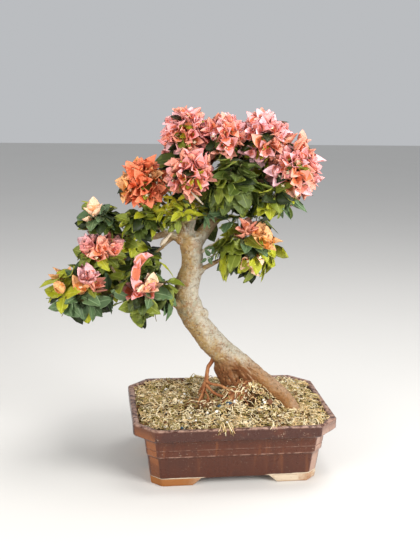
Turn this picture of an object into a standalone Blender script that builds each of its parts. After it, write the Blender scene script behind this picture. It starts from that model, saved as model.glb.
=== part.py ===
"""A bougainvillea bonsai in its glazed pot, as separate named solids.

Metres, +Z up.  Everything is laid out round the middle of the pot's footprint, with the pot's long
side along X, its front towards -Y and its feet on z = 0.  The last lines move the whole model along
X and Y, so that its origin is the bottom centre of the whole object.
"""

from collections import namedtuple
import math
import random

import bmesh
import bpy
from mathutils import Matrix, Vector, noise
from mathutils.bvhtree import BVHTree

for old_object in list(bpy.data.objects):
    bpy.data.objects.remove(old_object, do_unlink=True)

# Fits
CLEAR = 0.0003
WALL_GAP = 0.0003
SIDE_CLEAR = 0.0006

# Pot: length along X, width along Y and corner cut of each level, and the level's height
RIM = (0.340, 0.250, 0.035)
RIM_TOP = 0.110
RIM_EDGE_ROUND = 0.0028
RIM_FACE = 0.019
LIP_UNDERSIDE_INNER = 0.084
BODY_TOP = (0.302, 0.212, 0.018)
LEDGE_TOP = (0.2955, 0.2055, 0.0178)
LEDGE_FOOT = (0.2905, 0.2005, 0.0175)
LEDGE_HEIGHT = 0.0545
LEDGE_DEPTH = 0.0022
BODY_FOOT = (0.2818, 0.1936, 0.0171)
MOUTH = (0.322, 0.232, 0.031)
THROAT = (0.284, 0.194, 0.016)
THROAT_HEIGHT = 0.080
FLOOR = (0.266, 0.176, 0.014)
FLOOR_HEIGHT = 0.026

# Feet, one under each corner of the pot
FOOT_HEIGHT = 0.013
FOOT_SOLE = (0.279, 0.191, 0.017)
FOOT_SOLE_RUN = 0.068
FOOT_TOP_RUN = 0.084
FOOT_THICKNESS = 0.020

# Filling
GROUND = 0.100
MOSS_EDGE_HEIGHT = 0.1062
MOSS_SPOKES = 24
MOSS_RINGS = (1.0, 0.88, 0.66, 0.44, 0.22)
MOSS_ROUGHNESS = 0.0016
MOSS_ROUGH_SCALE = 60
MOSS_EDGE_SLOPE = 5
MOSS_HEAPS = (
    # x, y, height, radius
    (0.010, 0.010, 0.015, 0.085),
    (-0.060, 0.070, 0.011, 0.050),
    (0.075, 0.045, 0.006, 0.055),
    (-0.095, -0.030, 0.004, 0.050),
    (0.026, -0.020, 0.032, 0.040),
    (0.054, -0.034, 0.012, 0.026),
)

# Trunk: x, y, z and radius at the stations of its centre line, from the foot of the leaning leg up
TRUNK = (
    (0.114, -0.044, 0.090, 0.0138),
    (0.091, -0.034, 0.126, 0.0136),
    (0.045, -0.014, 0.161, 0.0165),
    (0.001, 0.002, 0.188, 0.0235),
    (-0.036, 0.009, 0.224, 0.0212),
    (-0.065, 0.012, 0.268, 0.0212),
    (-0.075, 0.012, 0.309, 0.0208),
    (-0.066, 0.009, 0.351, 0.0180),
    (-0.068, 0.009, 0.388, 0.0200),
    (-0.069, 0.009, 0.404, 0.0195),
)
TRUNK_SWELL = 0.10
SWELL_SCALE = 45
TRUNK_SIDES = 10
TRUNK_STEPS = 3
FLARE_SIDES = 9
RIDGE_SIDES = 7
RIDGE_STEPS = 2
HANGING_ROOT_SIDES = 6
STRAND_SIDES = 5
ROOT_FLARE = (
    (-0.006, 0.006, 0.206, 0.0180),
    (-0.003, 0.004, 0.174, 0.0235),
    (0.009, 0.003, 0.147, 0.0240),
    (0.015, 0.002, 0.121, 0.0225),
    (0.018, 0.002, 0.088, 0.0250),
)
FRONT_RIDGE = (
    (0.004, -0.010, 0.197, 0.0090),
    (0.021, -0.017, 0.175, 0.0115),
    (0.036, -0.022, 0.153, 0.0102),
    (0.048, -0.026, 0.130, 0.0085),
)
LEG_RIDGE = (
    (0.024, -0.013, 0.178, 0.0090),
    (0.046, -0.023, 0.157, 0.0090),
    (0.066, -0.029, 0.139, 0.0070),
)
KNOTS = (
    # x, y, z, radius
    (-0.048, 0.004, 0.267, 0.0115),
    (-0.087, 0.010, 0.288, 0.0125),
    (-0.054, 0.002, 0.345, 0.0085),
)
AERIAL_ROOT = (
    (-0.022, 0.004, 0.196, 0.0048),
    (-0.033, 0.001, 0.180, 0.0036),
    (-0.038, -0.003, 0.164, 0.0034),
    (-0.041, -0.006, 0.147, 0.0042),
    (-0.046, -0.008, 0.128, 0.0034),
    (-0.052, -0.009, 0.088, 0.0040),
)
AERIAL_STRANDS = (
    ((-0.041, -0.006, 0.149, 0.0034), (-0.025, -0.012, 0.141, 0.0026), (-0.012, -0.018, 0.129, 0.0024),
     (0.004, -0.023, 0.088, 0.0026)),
    ((-0.040, -0.006, 0.146, 0.0032), (-0.030, -0.016, 0.129, 0.0026), (-0.022, -0.024, 0.088, 0.0026)),
    ((-0.041, -0.005, 0.148, 0.0030), (-0.048, 0.006, 0.130, 0.0026), (-0.054, 0.014, 0.088, 0.0026)),
)

# Limbs that show: the limb that each grows from, and x, y, z and radius at its stations
LIMBS = {
    "left_limb": ("trunk", (
        (-0.072, 0.009, 0.386, 0.0160), (-0.077, 0.008, 0.412, 0.0140), (-0.066, 0.007, 0.446, 0.0105),
        (-0.057, 0.008, 0.485, 0.0074), (-0.062, 0.009, 0.524, 0.0055), (-0.071, 0.010, 0.548, 0.0042))),
    "right_limb": ("trunk", (
        (-0.064, 0.010, 0.384, 0.0140), (-0.044, 0.013, 0.411, 0.0110), (-0.013, 0.014, 0.447, 0.0083),
        (0.006, 0.011, 0.473, 0.0066), (0.026, 0.003, 0.512, 0.0050), (0.035, -0.001, 0.533, 0.0042))),
    "arm": ("trunk", (
        (-0.070, 0.009, 0.385, 0.0100), (-0.090, 0.009, 0.399, 0.0082), (-0.109, 0.010, 0.405, 0.0064),
        (-0.140, 0.015, 0.399, 0.0050), (-0.190, 0.022, 0.405, 0.0036))),
    "low_bough": ("trunk", (
        (-0.074, 0.012, 0.285, 0.0090), (-0.111, 0.006, 0.289, 0.0057), (-0.162, 0.010, 0.296, 0.0042),
        (-0.204, 0.016, 0.301, 0.0032))),
    "middle_twig": ("trunk", (
        (-0.074, 0.012, 0.322, 0.0044), (-0.103, 0.004, 0.325, 0.0031), (-0.119, 0.000, 0.322, 0.0026))),
    "right_branch": ("trunk", (
        (-0.067, 0.009, 0.337, 0.0058), (-0.041, -0.002, 0.352, 0.0043), (-0.012, -0.010, 0.369, 0.0031),
        (0.003, -0.013, 0.375, 0.0026))),
}

# Masses of foliage.  A mass is fed by a limb's tip, or by its own bough that springs from a place
# along that limb.  Its blossom is on the side that blossom_way names, over a share of the mass.
# A dense head of blossom has a solid core, as a share of its size.  The seeds are the ones that,
# of the few tried, give an outline nearest to the real tree's.
TIP = None
NO_BLOSSOM = 0
NO_CORE = 0
Plan = namedtuple("Plan", "centre half_sizes limb where shoots seed blossom_way blossom_share core",
                  defaults=((0, 0, 1), NO_BLOSSOM, NO_CORE))
MASSES = {
    "dome_left": Plan(
        (-0.079, 0.011, 0.573), (0.038, 0.040, 0.043), "left_limb", TIP,
        blossom_way=(0, -0.3, 1), blossom_share=0.85, shoots=9, seed=4700, core=0.6),
    "head_front": Plan(
        (-0.077, -0.040, 0.511), (0.039, 0.034, 0.040), "left_limb", 0.36,
        blossom_way=(0, -1, 0.4), blossom_share=0.8, shoots=9, seed=5401, core=0.6),
    "ball_orange": Plan(
        (-0.148, 0.005, 0.487), (0.038, 0.036, 0.044), "left_limb", 0.22,
        blossom_way=(-0.2, -0.5, 1), blossom_share=1, shoots=10, seed=4402, core=0.6),
    "head_mid": Plan(
        (-0.021, -0.008, 0.565), (0.037, 0.042, 0.040), "right_limb", 0.58,
        blossom_way=(0, -0.3, 1), blossom_share=0.7, shoots=9, seed=4703, core=0.6),
    "head_right": Plan(
        (0.045, -0.006, 0.563), (0.048, 0.046, 0.048), "right_limb", TIP,
        blossom_way=(0.1, -0.5, 1), blossom_share=0.75, shoots=12, seed=5204, core=0.6),
    "shoulder_right": Plan(
        (0.093, -0.030, 0.517), (0.044, 0.044, 0.062), "right_limb", 0.66,
        blossom_way=(0.5, -0.8, 0.7), blossom_share=0.6, shoots=11, seed=4105, core=0.6),
    "under_front": Plan(
        (-0.010, -0.044, 0.490), (0.052, 0.040, 0.062), "right_limb", 0.38,
        shoots=12, seed=4106),
    "under_shoulder": Plan(
        (0.056, -0.048, 0.468), (0.048, 0.036, 0.036), "right_limb", 0.52,
        shoots=7, seed=4907),
    "arm_tip": Plan(
        (-0.217, 0.025, 0.420), (0.040, 0.038, 0.042), "arm", TIP,
        blossom_way=(-0.8, -0.4, 0.5), blossom_share=0.3, shoots=7, seed=5208),
    "arm_inner": Plan(
        (-0.146, 0.004, 0.426), (0.050, 0.040, 0.040), "arm", 0.36,
        shoots=8, seed=5109),
    "drop_left": Plan(
        (-0.143, 0.036, 0.354), (0.054, 0.034, 0.038), "arm", 0.3,
        shoots=7, seed=4510),
    "pad_high_left": Plan(
        (-0.217, 0.014, 0.372), (0.044, 0.036, 0.030), "low_bough", 0.7,
        blossom_way=(0, -0.5, 0.8), blossom_share=0.7, shoots=6, seed=4611, core=0.6),
    "pad_low_left": Plan(
        (-0.256, 0.020, 0.300), (0.072, 0.050, 0.060), "low_bough", TIP,
        blossom_way=(0, -0.8, 0.8), blossom_share=0.3, shoots=11, seed=4912),
    "pad_low_mid": Plan(
        (-0.147, -0.008, 0.304), (0.060, 0.046, 0.070), "middle_twig", TIP,
        blossom_way=(0.3, -0.9, 0.5), blossom_share=0.3, shoots=10, seed=4413),
    "pad_right": Plan(
        (0.022, -0.017, 0.391), (0.064, 0.046, 0.080), "right_branch", TIP,
        blossom_way=(0.5, -0.8, 0.2), blossom_share=0.32, shoots=12, seed=4314),
    "fork_sprig": Plan(
        (-0.090, -0.038, 0.442), (0.054, 0.028, 0.036), "left_limb", 0.12,
        shoots=6, seed=4515),
    "back_left": Plan(
        (-0.074, 0.072, 0.508), (0.054, 0.040, 0.060), "left_limb", 0.3,
        blossom_way=(0, 0.7, 0.8), blossom_share=0.35, shoots=6, seed=5116),
    "back_right": Plan(
        (0.037, 0.062, 0.506), (0.080, 0.044, 0.070), "right_limb", 0.36,
        blossom_way=(0, 0.7, 0.8), blossom_share=0.35, shoots=7, seed=5217),
    "back_pad": Plan(
        (-0.190, 0.092, 0.314), (0.068, 0.038, 0.052), "low_bough", 0.42,
        blossom_way=(0, 0.8, 0.6), blossom_share=0.2, shoots=5, seed=4118),
}
OVERHANG = 1.08

# Limbs' sections, and how a bough leaves its limb and comes into its mass
LIMB_STEPS = 2
THICK_LIMB = 0.0095
THICK_LIMB_SIDES = 7
THIN_LIMB_SIDES = 5
BOUGH_STEPS = 3
BOUGH_FOOT_RADIUS = 0.0052
BOUGH_FOOT_SHARE = 0.8
BOUGH_TIP_RADIUS = 0.0026
BOUGH_FOLLOWS_LIMB = 0.35
BOUGH_LEAVING = 0.4
BOUGH_ARRIVING = 0.3
BOUGH_RISE = 0.15
ENTRY_DEPTH = 0.74

# Stems and shoots
TWIG_SIDES = 3
TWIG_RADIUS = 0.0022
SHOOT_TIP_RADIUS = 0.0019
STEM_LEAD = 0.003
STEM_STEPS = 3
STEM_PAST_CENTRE = 0.1
LONG_SHOOT = 0.030
SHOOT_LEAVING = 0.4
SHOOT_ARCH = 0.08
SHOOT_ARRIVING = 0.25
SHOOTS_OVER_STEM = 0.6
STEM_GUIDE = 0.6
STEM_FOOT_SHARE = 0.9
SHOOT_STRAY = 0.3
WIDEST_SPRAY = 0.8
NEAREST_SPRAY = 0.3
GOLDEN_ANGLE = math.pi * (3.0 - math.sqrt(5.0))

# Leaves and bracts
LEAF_LENGTH = 0.046
LEAF_SLIMNESS = 0.70
LEAF_SHARE_OF_MASS = 1.2
LEAF_PITCH = math.radians(58)
LEAF_HANG = 0.35
LEAF_SIZES = (0.88, 1.06)
LEAVES_PER_SHOOT = 3
LEAVES_BESIDE_BLOSSOM = 2
LEAFY_SHARE_OF_SHOOT = 0.5
BRACT_LENGTH = 0.029
BRACT_WIDTH = 0.022
BRACT_PITCH = math.radians(48)
BRACT_SIZES = (0.9, 1.1)
BRACTS_PER_BLOSSOM = 3
BRACT_STEP = 0.0026
BLADE_THICKNESS = 0.0012
BLADE_SINK = 0.0012
BLADE_DROOP = 0.08
BLADE_FOLD = 0.14
# Shares of a blade's length and half width at its two widest places, and of its length under its keel
BLADE_NEAR = 0.27
BLADE_FAR = 0.64
BLADE_FAR_WIDTH = 0.86
BLADE_FAR_DROOP = 0.4
BLADE_KEEL = 0.42
BLADE_TRIES = 90
BLADE_LEAN = (-0.6, 0.5)
BLADE_SHRINK = 0.35
CORE_SPREAD = 0.0032
CORE_INSIDE_WALL = 0.001


def material(name, colour, roughness):
    """A plain shader of one colour."""
    made = bpy.data.materials.new(name)
    made.use_nodes = True
    shader = made.node_tree.nodes["Principled BSDF"]
    shader.inputs["Base Color"].default_value = (*colour, 1.0)
    shader.inputs["Roughness"].default_value = roughness
    shader.inputs["Metallic"].default_value = 0.0
    made.diffuse_color = (*colour, 1.0)
    return made


GLAZE = material("brown_glaze", (0.085, 0.032, 0.028), 0.30)
BARE_CLAY = material("bare_clay", (0.62, 0.43, 0.22), 0.85)
SOIL = material("potting_soil", (0.055, 0.036, 0.022), 0.95)
MOSS = material("dry_moss", (0.40, 0.31, 0.16), 0.95)
BARK = material("pale_bark", (0.52, 0.40, 0.25), 0.80)
ROOT_BARK = material("root_bark", (0.42, 0.17, 0.06), 0.80)
LEAF_GREEN = material("leaf_green", (0.085, 0.17, 0.035), 0.50)
BRACT_PINK = material("bract_pink", (0.72, 0.20, 0.17), 0.60)


def place(name, mesh_data, *materials):
    """Put a mesh into the scene as an object."""
    made = bpy.data.objects.new(name, mesh_data)
    bpy.context.scene.collection.objects.link(made)
    for each in materials:
        mesh_data.materials.append(each)
    return made


def solid(name, points, faces, *materials):
    """A closed solid from its points and faces, with every face turned outwards."""
    shape = bmesh.new()
    corners = [shape.verts.new(point) for point in points]
    for face in faces:
        shape.faces.new([corners[index] for index in face])
    bmesh.ops.recalc_face_normals(shape, faces=shape.faces)
    mesh_data = bpy.data.meshes.new(name)
    shape.to_mesh(mesh_data)
    shape.free()
    return place(name, mesh_data, *materials)


def lofted(name, rings, *materials):
    """A solid through rings of equally many points, with a flat face on its first and last ring."""
    count = len(rings[0])
    points = [point for ring in rings for point in ring]
    faces = [tuple(reversed(range(count)))]
    for level in range(len(rings) - 1):
        for spoke in range(count):
            here = level * count + spoke
            beside = level * count + (spoke + 1) % count
            faces.append((here, beside, beside + count, here + count))
    last = (len(rings) - 1) * count
    faces.append(tuple(range(last, last + count)))
    return solid(name, points, faces, *materials)


def surface_of(made):
    """The points and faces of an object's mesh."""
    return ([vert.co.copy() for vert in made.data.vertices],
            [tuple(polygon.vertices) for polygon in made.data.polygons])


def combine(target, operation, operands, solver="EXACT"):
    """Join the operands to the target, or cut them from it, and keep only the result's mesh."""
    group = bpy.data.collections.new("operands")
    bpy.context.scene.collection.children.link(group)
    for operand in operands:
        bpy.context.scene.collection.objects.unlink(operand)
        group.objects.link(operand)
    step = target.modifiers.new("combine", "BOOLEAN")
    step.operation = operation
    step.operand_type = "COLLECTION"
    step.collection = group
    step.solver = solver
    seen = target.evaluated_get(bpy.context.evaluated_depsgraph_get())
    result = bpy.data.meshes.new_from_object(seen)
    target.modifiers.clear()
    target.data = result
    for operand in list(group.objects):
        bpy.data.objects.remove(operand, do_unlink=True)
    bpy.data.collections.remove(group)
    return target


def keep_largest_body(target):
    """Drop loose scraps and the skins of sealed hollows, and leave the largest body."""
    shape = bmesh.new()
    shape.from_mesh(target.data)
    unseen = set(shape.verts)
    bodies = []
    while unseen:
        body = [unseen.pop()]
        for vert in body:
            for edge in vert.link_edges:
                other = edge.other_vert(vert)
                if other in unseen:
                    unseen.remove(other)
                    body.append(other)
        bodies.append(body)
    bodies.sort(key=len)
    scraps = [vert for body in bodies[:-1] for vert in body]
    bmesh.ops.delete(shape, geom=scraps, context="VERTS")
    bmesh.ops.triangulate(shape, faces=shape.faces)
    shape.to_mesh(target.data)
    shape.free()
    return target


def octagon(size, height):
    """The eight corners of a level of the pot: a rectangle with its corners cut off."""
    length, width, cut = size
    half_length = length / 2
    half_width = width / 2
    first_quarter = [(half_length, half_width - cut), (half_length - cut, half_width)]
    corners = []
    for turn_x, turn_y, order in ((1, 1, 1), (-1, 1, -1), (-1, -1, 1), (1, -1, -1)):
        for x, y in first_quarter[::order]:
            corners.append(Vector((turn_x * x, turn_y * y, height)))
    return corners


def between(low, high, share):
    """A level's size part of the way from one level to another."""
    return tuple(a + (b - a) * share for a, b in zip(low, high))


def shrunk(size, inset):
    """A level's size with each side brought in by the inset."""
    length, width, cut = size
    return (length - 2 * inset, width - 2 * inset, cut - inset * (2 - math.sqrt(2)))


def build_pot():
    """The glazed body: tapering walls with a ledge, a wide lip, and a hollow for the soil."""
    rounded = [
        octagon(shrunk(RIM, RIM_EDGE_ROUND * (1 - math.sin(angle))),
                RIM_TOP - RIM_EDGE_ROUND * (1 - math.cos(angle)))
        for angle in (math.pi / 2, math.pi / 4, 0)
    ]
    rings = [
        octagon(BODY_FOOT, FOOT_HEIGHT),
        octagon(LEDGE_FOOT, LEDGE_HEIGHT - LEDGE_DEPTH),
        octagon(LEDGE_TOP, LEDGE_HEIGHT),
        octagon(BODY_TOP, LIP_UNDERSIDE_INNER),
        octagon(shrunk(RIM, RIM_EDGE_ROUND / 2), RIM_TOP - RIM_FACE),
        octagon(RIM, RIM_TOP - RIM_FACE + RIM_EDGE_ROUND / 2),
        *rounded,
        octagon(MOUTH, RIM_TOP),
        octagon(THROAT, THROAT_HEIGHT),
        octagon(FLOOR, FLOOR_HEIGHT),
    ]
    return lofted("pot", rings, GLAZE)


def build_foot(name, side_x, side_y):
    """One foot: an L round a corner of the pot, with sloping ends."""
    def outline(size, run, height):
        length, width, cut = size
        x = length / 2
        y = width / 2
        inner_x = x - FOOT_THICKNESS
        inner_y = y - FOOT_THICKNESS
        plan = ((x - run, y), (x - cut, y), (x, y - cut), (x, y - run),
                (inner_x, y - run), (inner_x, inner_y), (x - run, inner_y))
        return [Vector((side_x * px, side_y * py, height)) for px, py in plan]
    sole = outline(FOOT_SOLE, FOOT_SOLE_RUN, 0.0)
    top = outline(BODY_FOOT, FOOT_TOP_RUN, FOOT_HEIGHT - CLEAR)
    return lofted(name, [sole, top], BARE_CLAY)


def mouth_at(height):
    """The size of the pot's hollow at a height in its upper part."""
    return between(THROAT, MOUTH, (height - THROAT_HEIGHT) / (RIM_TOP - THROAT_HEIGHT))


def build_soil():
    """The soil that fills the pot up to the ground level."""
    rings = [
        octagon(shrunk(FLOOR, 2 * CLEAR), FLOOR_HEIGHT + CLEAR),
        octagon(shrunk(THROAT, 2 * CLEAR), THROAT_HEIGHT),
        octagon(shrunk(mouth_at(GROUND), 2 * CLEAR), GROUND),
    ]
    return lofted("potting_soil", rings, SOIL)


def reach_in_octagon(size, angle):
    """How far a level reaches from its middle towards an angle."""
    length, width, cut = size
    x = abs(math.cos(angle))
    y = abs(math.sin(angle))
    diagonal = (length + width) / 2 - cut
    return min(length / 2 / max(x, 1e-6), width / 2 / max(y, 1e-6), diagonal / (x + y))


def moss_height(x, y, share):
    """The height of the moss: low at the pot's edge, heaped towards the middle and the back."""
    rise = sum(height * math.exp(-((x - hx) ** 2 + (y - hy) ** 2) / (radius * radius))
               for hx, hy, height, radius in MOSS_HEAPS)
    rough = MOSS_ROUGHNESS * noise.noise(Vector((x, y, 0.0)) * MOSS_ROUGH_SCALE)
    inward = min(1.0, (1 - share) * MOSS_EDGE_SLOPE)
    return MOSS_EDGE_HEIGHT + (rise + rough) * inward


def build_moss():
    """The loose dressing of moss over the soil, as one heaped layer."""
    foot = shrunk(mouth_at(GROUND), 4 * CLEAR)
    edge = shrunk(mouth_at(MOSS_EDGE_HEIGHT), 4 * CLEAR)
    angles = [2 * math.pi * spoke / MOSS_SPOKES for spoke in range(MOSS_SPOKES)]
    foot_ring = []
    for angle in angles:
        reach = reach_in_octagon(foot, angle)
        foot_ring.append(Vector((reach * math.cos(angle), reach * math.sin(angle), GROUND + CLEAR)))
    rings = [foot_ring]
    for share in MOSS_RINGS:
        ring = []
        for angle in angles:
            reach = reach_in_octagon(edge, angle) * share
            x = reach * math.cos(angle)
            y = reach * math.sin(angle)
            ring.append(Vector((x, y, moss_height(x, y, share))))
        rings.append(ring)
    return lofted("moss_dressing", rings, MOSS)


def smooth_line(stations, steps):
    """Points and radii along a smooth line through stations of x, y, z and radius."""
    spots = [Vector(station[:3]) for station in stations]
    radii = [station[3] for station in stations]
    before = [spots[0] * 2 - spots[1]] + spots
    after = spots + [spots[-1] * 2 - spots[-2]]
    line = []
    for index in range(len(spots) - 1):
        a, b, c, d = before[index], spots[index], spots[index + 1], after[index + 2]
        for step in range(steps):
            t = step / steps
            point = 0.5 * (2 * b + (c - a) * t + (2 * a - 5 * b + 4 * c - d) * t * t
                           + (3 * b - a - 3 * c + d) * t * t * t)
            line.append((point, radii[index] + (radii[index + 1] - radii[index]) * t))
    line.append((spots[-1], radii[-1]))
    return line


def headings(line):
    """The direction of travel at each point of a line."""
    found = []
    for index in range(len(line)):
        behind = line[max(index - 1, 0)][0]
        ahead = line[min(index + 1, len(line) - 1)][0]
        found.append((ahead - behind).normalized())
    return found


def along_line(line, share):
    """The point and the direction of travel at a share of the way along a line."""
    spot = share * (len(line) - 1)
    index = min(int(spot), len(line) - 2)
    behind = line[index][0]
    ahead = line[index + 1][0]
    return behind.lerp(ahead, spot - index), (ahead - behind).normalized()


def tube_rings(line, sides, swell=0.0, extra=0.0):
    """Rings round a line, at right angles to it, turned so that the tube doesn't twist."""
    ways = headings(line)
    side = ways[0].orthogonal().normalized()
    rings = []
    for (centre, radius), way in zip(line, ways):
        side = (side - way * side.dot(way)).normalized()
        other = way.cross(side)
        ring = []
        for spoke in range(sides):
            angle = 2 * math.pi * spoke / sides
            outward = side * math.cos(angle) + other * math.sin(angle)
            bulge = 1.0 + swell * noise.noise((centre + outward * radius) * SWELL_SCALE)
            ring.append(centre + outward * (radius * bulge + extra))
        rings.append(ring)
    return rings


def tube(name, line, sides, *materials):
    """A closed tapering tube along a line."""
    return lofted(name, tube_rings(line, sides), *materials)


def bark_tube(name, line, sides, extra, *materials, swell=0.0):
    """A tube of the trunk, a limb or a root, or a cutter of that shape that is larger all round.

    Its faces are split in the same way at either size, so that the two stay the same distance apart.
    """
    made = lofted(name, tube_rings(line, sides, swell, extra), *materials)
    shape = bmesh.new()
    shape.from_mesh(made.data)
    bmesh.ops.triangulate(shape, faces=shape.faces, quad_method="FIXED")
    shape.to_mesh(made.data)
    shape.free()
    return made


def ball(name, centre, radius, *materials):
    """A small round knot."""
    shape = bmesh.new()
    bmesh.ops.create_icosphere(shape, subdivisions=2, radius=radius, matrix=Matrix.Translation(centre))
    mesh_data = bpy.data.meshes.new(name)
    shape.to_mesh(mesh_data)
    shape.free()
    return place(name, mesh_data, *materials)


def ground_block():
    """Everything below the flat cut under the trunk and roots."""
    top = GROUND + CLEAR
    half = RIM[0] / 2
    square = ((-half, -half), (half, -half), (half, half), (-half, half))
    low = [Vector((x, y, 0.0)) for x, y in square]
    high = [Vector((x, y, top)) for x, y in square]
    return lofted("ground_block", [low, high])


def trunk_solid(name, extra=0.0):
    """The trunk with its leaning leg, root flare, ridges and knots, fused."""
    body = bark_tube(name, smooth_line(TRUNK, TRUNK_STEPS), TRUNK_SIDES, extra, BARK, swell=TRUNK_SWELL)
    flare_line = smooth_line(ROOT_FLARE, RIDGE_STEPS)
    parts = [bark_tube("flare", flare_line, FLARE_SIDES, extra, swell=TRUNK_SWELL)]
    for ridge in (FRONT_RIDGE, LEG_RIDGE):
        ridge_line = smooth_line(ridge, RIDGE_STEPS)
        parts.append(bark_tube("ridge", ridge_line, RIDGE_SIDES, extra, swell=TRUNK_SWELL))
    for x, y, z, radius in KNOTS:
        parts.append(ball("knot", Vector((x, y, z)), radius + extra))
    return combine(body, "UNION", parts)


def root_solid(name, extra=0.0):
    """The root that hangs free of the trunk, and the strands that it splits into."""
    body = bark_tube(name, smooth_line(AERIAL_ROOT, 1), HANGING_ROOT_SIDES, extra, ROOT_BARK)
    parts = [bark_tube("strand", smooth_line(strand, 1), STRAND_SIDES, extra) for strand in AERIAL_STRANDS]
    return combine(body, "UNION", parts)


def limb_solid(name, line, extra=0.0):
    """One tapering limb."""
    sides = THICK_LIMB_SIDES if line[0][1] > THICK_LIMB else THIN_LIMB_SIDES
    return bark_tube(name, line, sides, extra, BARK)


class Space:
    """The room of one mass: its rounded outline, and flat walls towards its neighbours."""

    def __init__(self, centre, half_sizes):
        self.centre = Vector(centre)
        self.half_sizes = Vector(half_sizes)
        self.walls = []

    def reach(self, way):
        """How far the outline lies from the centre along a direction."""
        return 1 / math.sqrt(sum((w / h) ** 2 for w, h in zip(way, self.half_sizes)))

    def room(self, way):
        """How far the outline or the nearest wall lies from the centre along a direction."""
        far = self.reach(way)
        for wall, square in self.walls:
            if way.dot(square) > 0.01:
                far = min(far, (wall - self.centre).dot(square) / way.dot(square))
        return far

    def add_wall(self, other):
        """Part this space from another by a wall square to the line between their centres."""
        apart = other.centre - self.centre
        way = apart.normalized()
        share = self.reach(way) / (self.reach(way) + other.reach(-way))
        self.walls.append((self.centre + apart * share - way * WALL_GAP, way))

    def holds(self, point):
        """Whether a point lies within the outline and the walls."""
        offset = point - self.centre
        if sum((o / h) ** 2 for o, h in zip(offset, self.half_sizes)) > OVERHANG ** 2:
            return False
        return all((point - wall).dot(way) <= 0 for wall, way in self.walls)


SPACES = {name: Space(plan.centre, plan.half_sizes) for name, plan in MASSES.items()}
for one in SPACES.values():
    for another in SPACES.values():
        if another is not one:
            one.add_wall(another)


def bent_line(start, leave, arrive, end, first_radius, last_radius, steps):
    """A smooth bend from start to end, with its two guide points, thinning on the way."""
    line = []
    for step in range(steps + 1):
        t = step / steps
        u = 1 - t
        point = start * u ** 3 + leave * 3 * u * u * t + arrive * 3 * u * t * t + end * t ** 3
        line.append((point, first_radius + (last_radius - first_radius) * t))
    return line


def spring_bough(parent_line, where, space):
    """A bough from a place along its parent to where it enters its mass."""
    index = round(where * (len(parent_line) - 1))
    start = parent_line[index][0]
    onward = headings(parent_line)[index]
    to_mass = (space.centre - start).normalized()
    entry = space.centre - to_mass * space.reach(to_mass) * ENTRY_DEPTH
    length = (entry - start).length
    leave = start + to_mass.lerp(onward, BOUGH_FOLLOWS_LIMB) * length * BOUGH_LEAVING
    rising = (to_mass + Vector((0, 0, BOUGH_RISE))).normalized()
    arrive = entry - rising * length * BOUGH_ARRIVING
    foot_radius = min(BOUGH_FOOT_RADIUS, parent_line[index][1] * BOUGH_FOOT_SHARE)
    return bent_line(start, leave, arrive, entry, foot_radius, BOUGH_TIP_RADIUS, BOUGH_STEPS)


# Lines of every limb, and what each is cut to fit
limb_lines = {name: smooth_line(stations, LIMB_STEPS) for name, (parent, stations) in LIMBS.items()}
limb_parents = {name: parent for name, (parent, stations) in LIMBS.items()}
feeding_limb = {}
for mass_name, plan in MASSES.items():
    feeding_limb[mass_name] = plan.limb
    if plan.where is not TIP:
        bough_name = mass_name + "_bough"
        limb_lines[bough_name] = spring_bough(limb_lines[plan.limb], plan.where, SPACES[mass_name])
        limb_parents[bough_name] = plan.limb
        feeding_limb[mass_name] = bough_name


def build_limbs():
    """Every limb, cut to sit on the limb that it grows from."""
    for name, line in limb_lines.items():
        parent = limb_parents[name]
        limb = limb_solid(name, line)
        if parent == "trunk":
            cutters = [trunk_solid("cutter", CLEAR)]
            if name in ("right_limb", "arm"):
                cutters.append(limb_solid("cutter", limb_lines["left_limb"], CLEAR))
        else:
            cutters = [limb_solid("cutter", limb_lines[parent], CLEAR)]
        combine(limb, "DIFFERENCE", cutters)
        keep_largest_body(limb)


def blade(root, along, up, length, width):
    """The points and faces of a leaf or bract: a folded blade whose root is sunk in its twig."""
    side = along.cross(up).normalized()
    face = side.cross(along).normalized()
    half_width = side * width / 2
    edge_rise = face * BLADE_FOLD * width
    droop = face * BLADE_DROOP * length
    near = root + along * length * BLADE_NEAR + edge_rise
    far = root + along * length * BLADE_FAR + edge_rise - droop * BLADE_FAR_DROOP
    points = [
        root - along * BLADE_SINK,
        near + half_width,
        far + half_width * BLADE_FAR_WIDTH,
        root + along * length - droop,
        far - half_width * BLADE_FAR_WIDTH,
        near - half_width,
        root + along * length * BLADE_KEEL - face * BLADE_THICKNESS,
    ]
    faces = [(0, 1, 5), (1, 2, 5), (2, 4, 5), (2, 3, 4)]
    faces += [(6, (corner + 1) % 6, corner) for corner in range(6)]
    return points, faces


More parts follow.
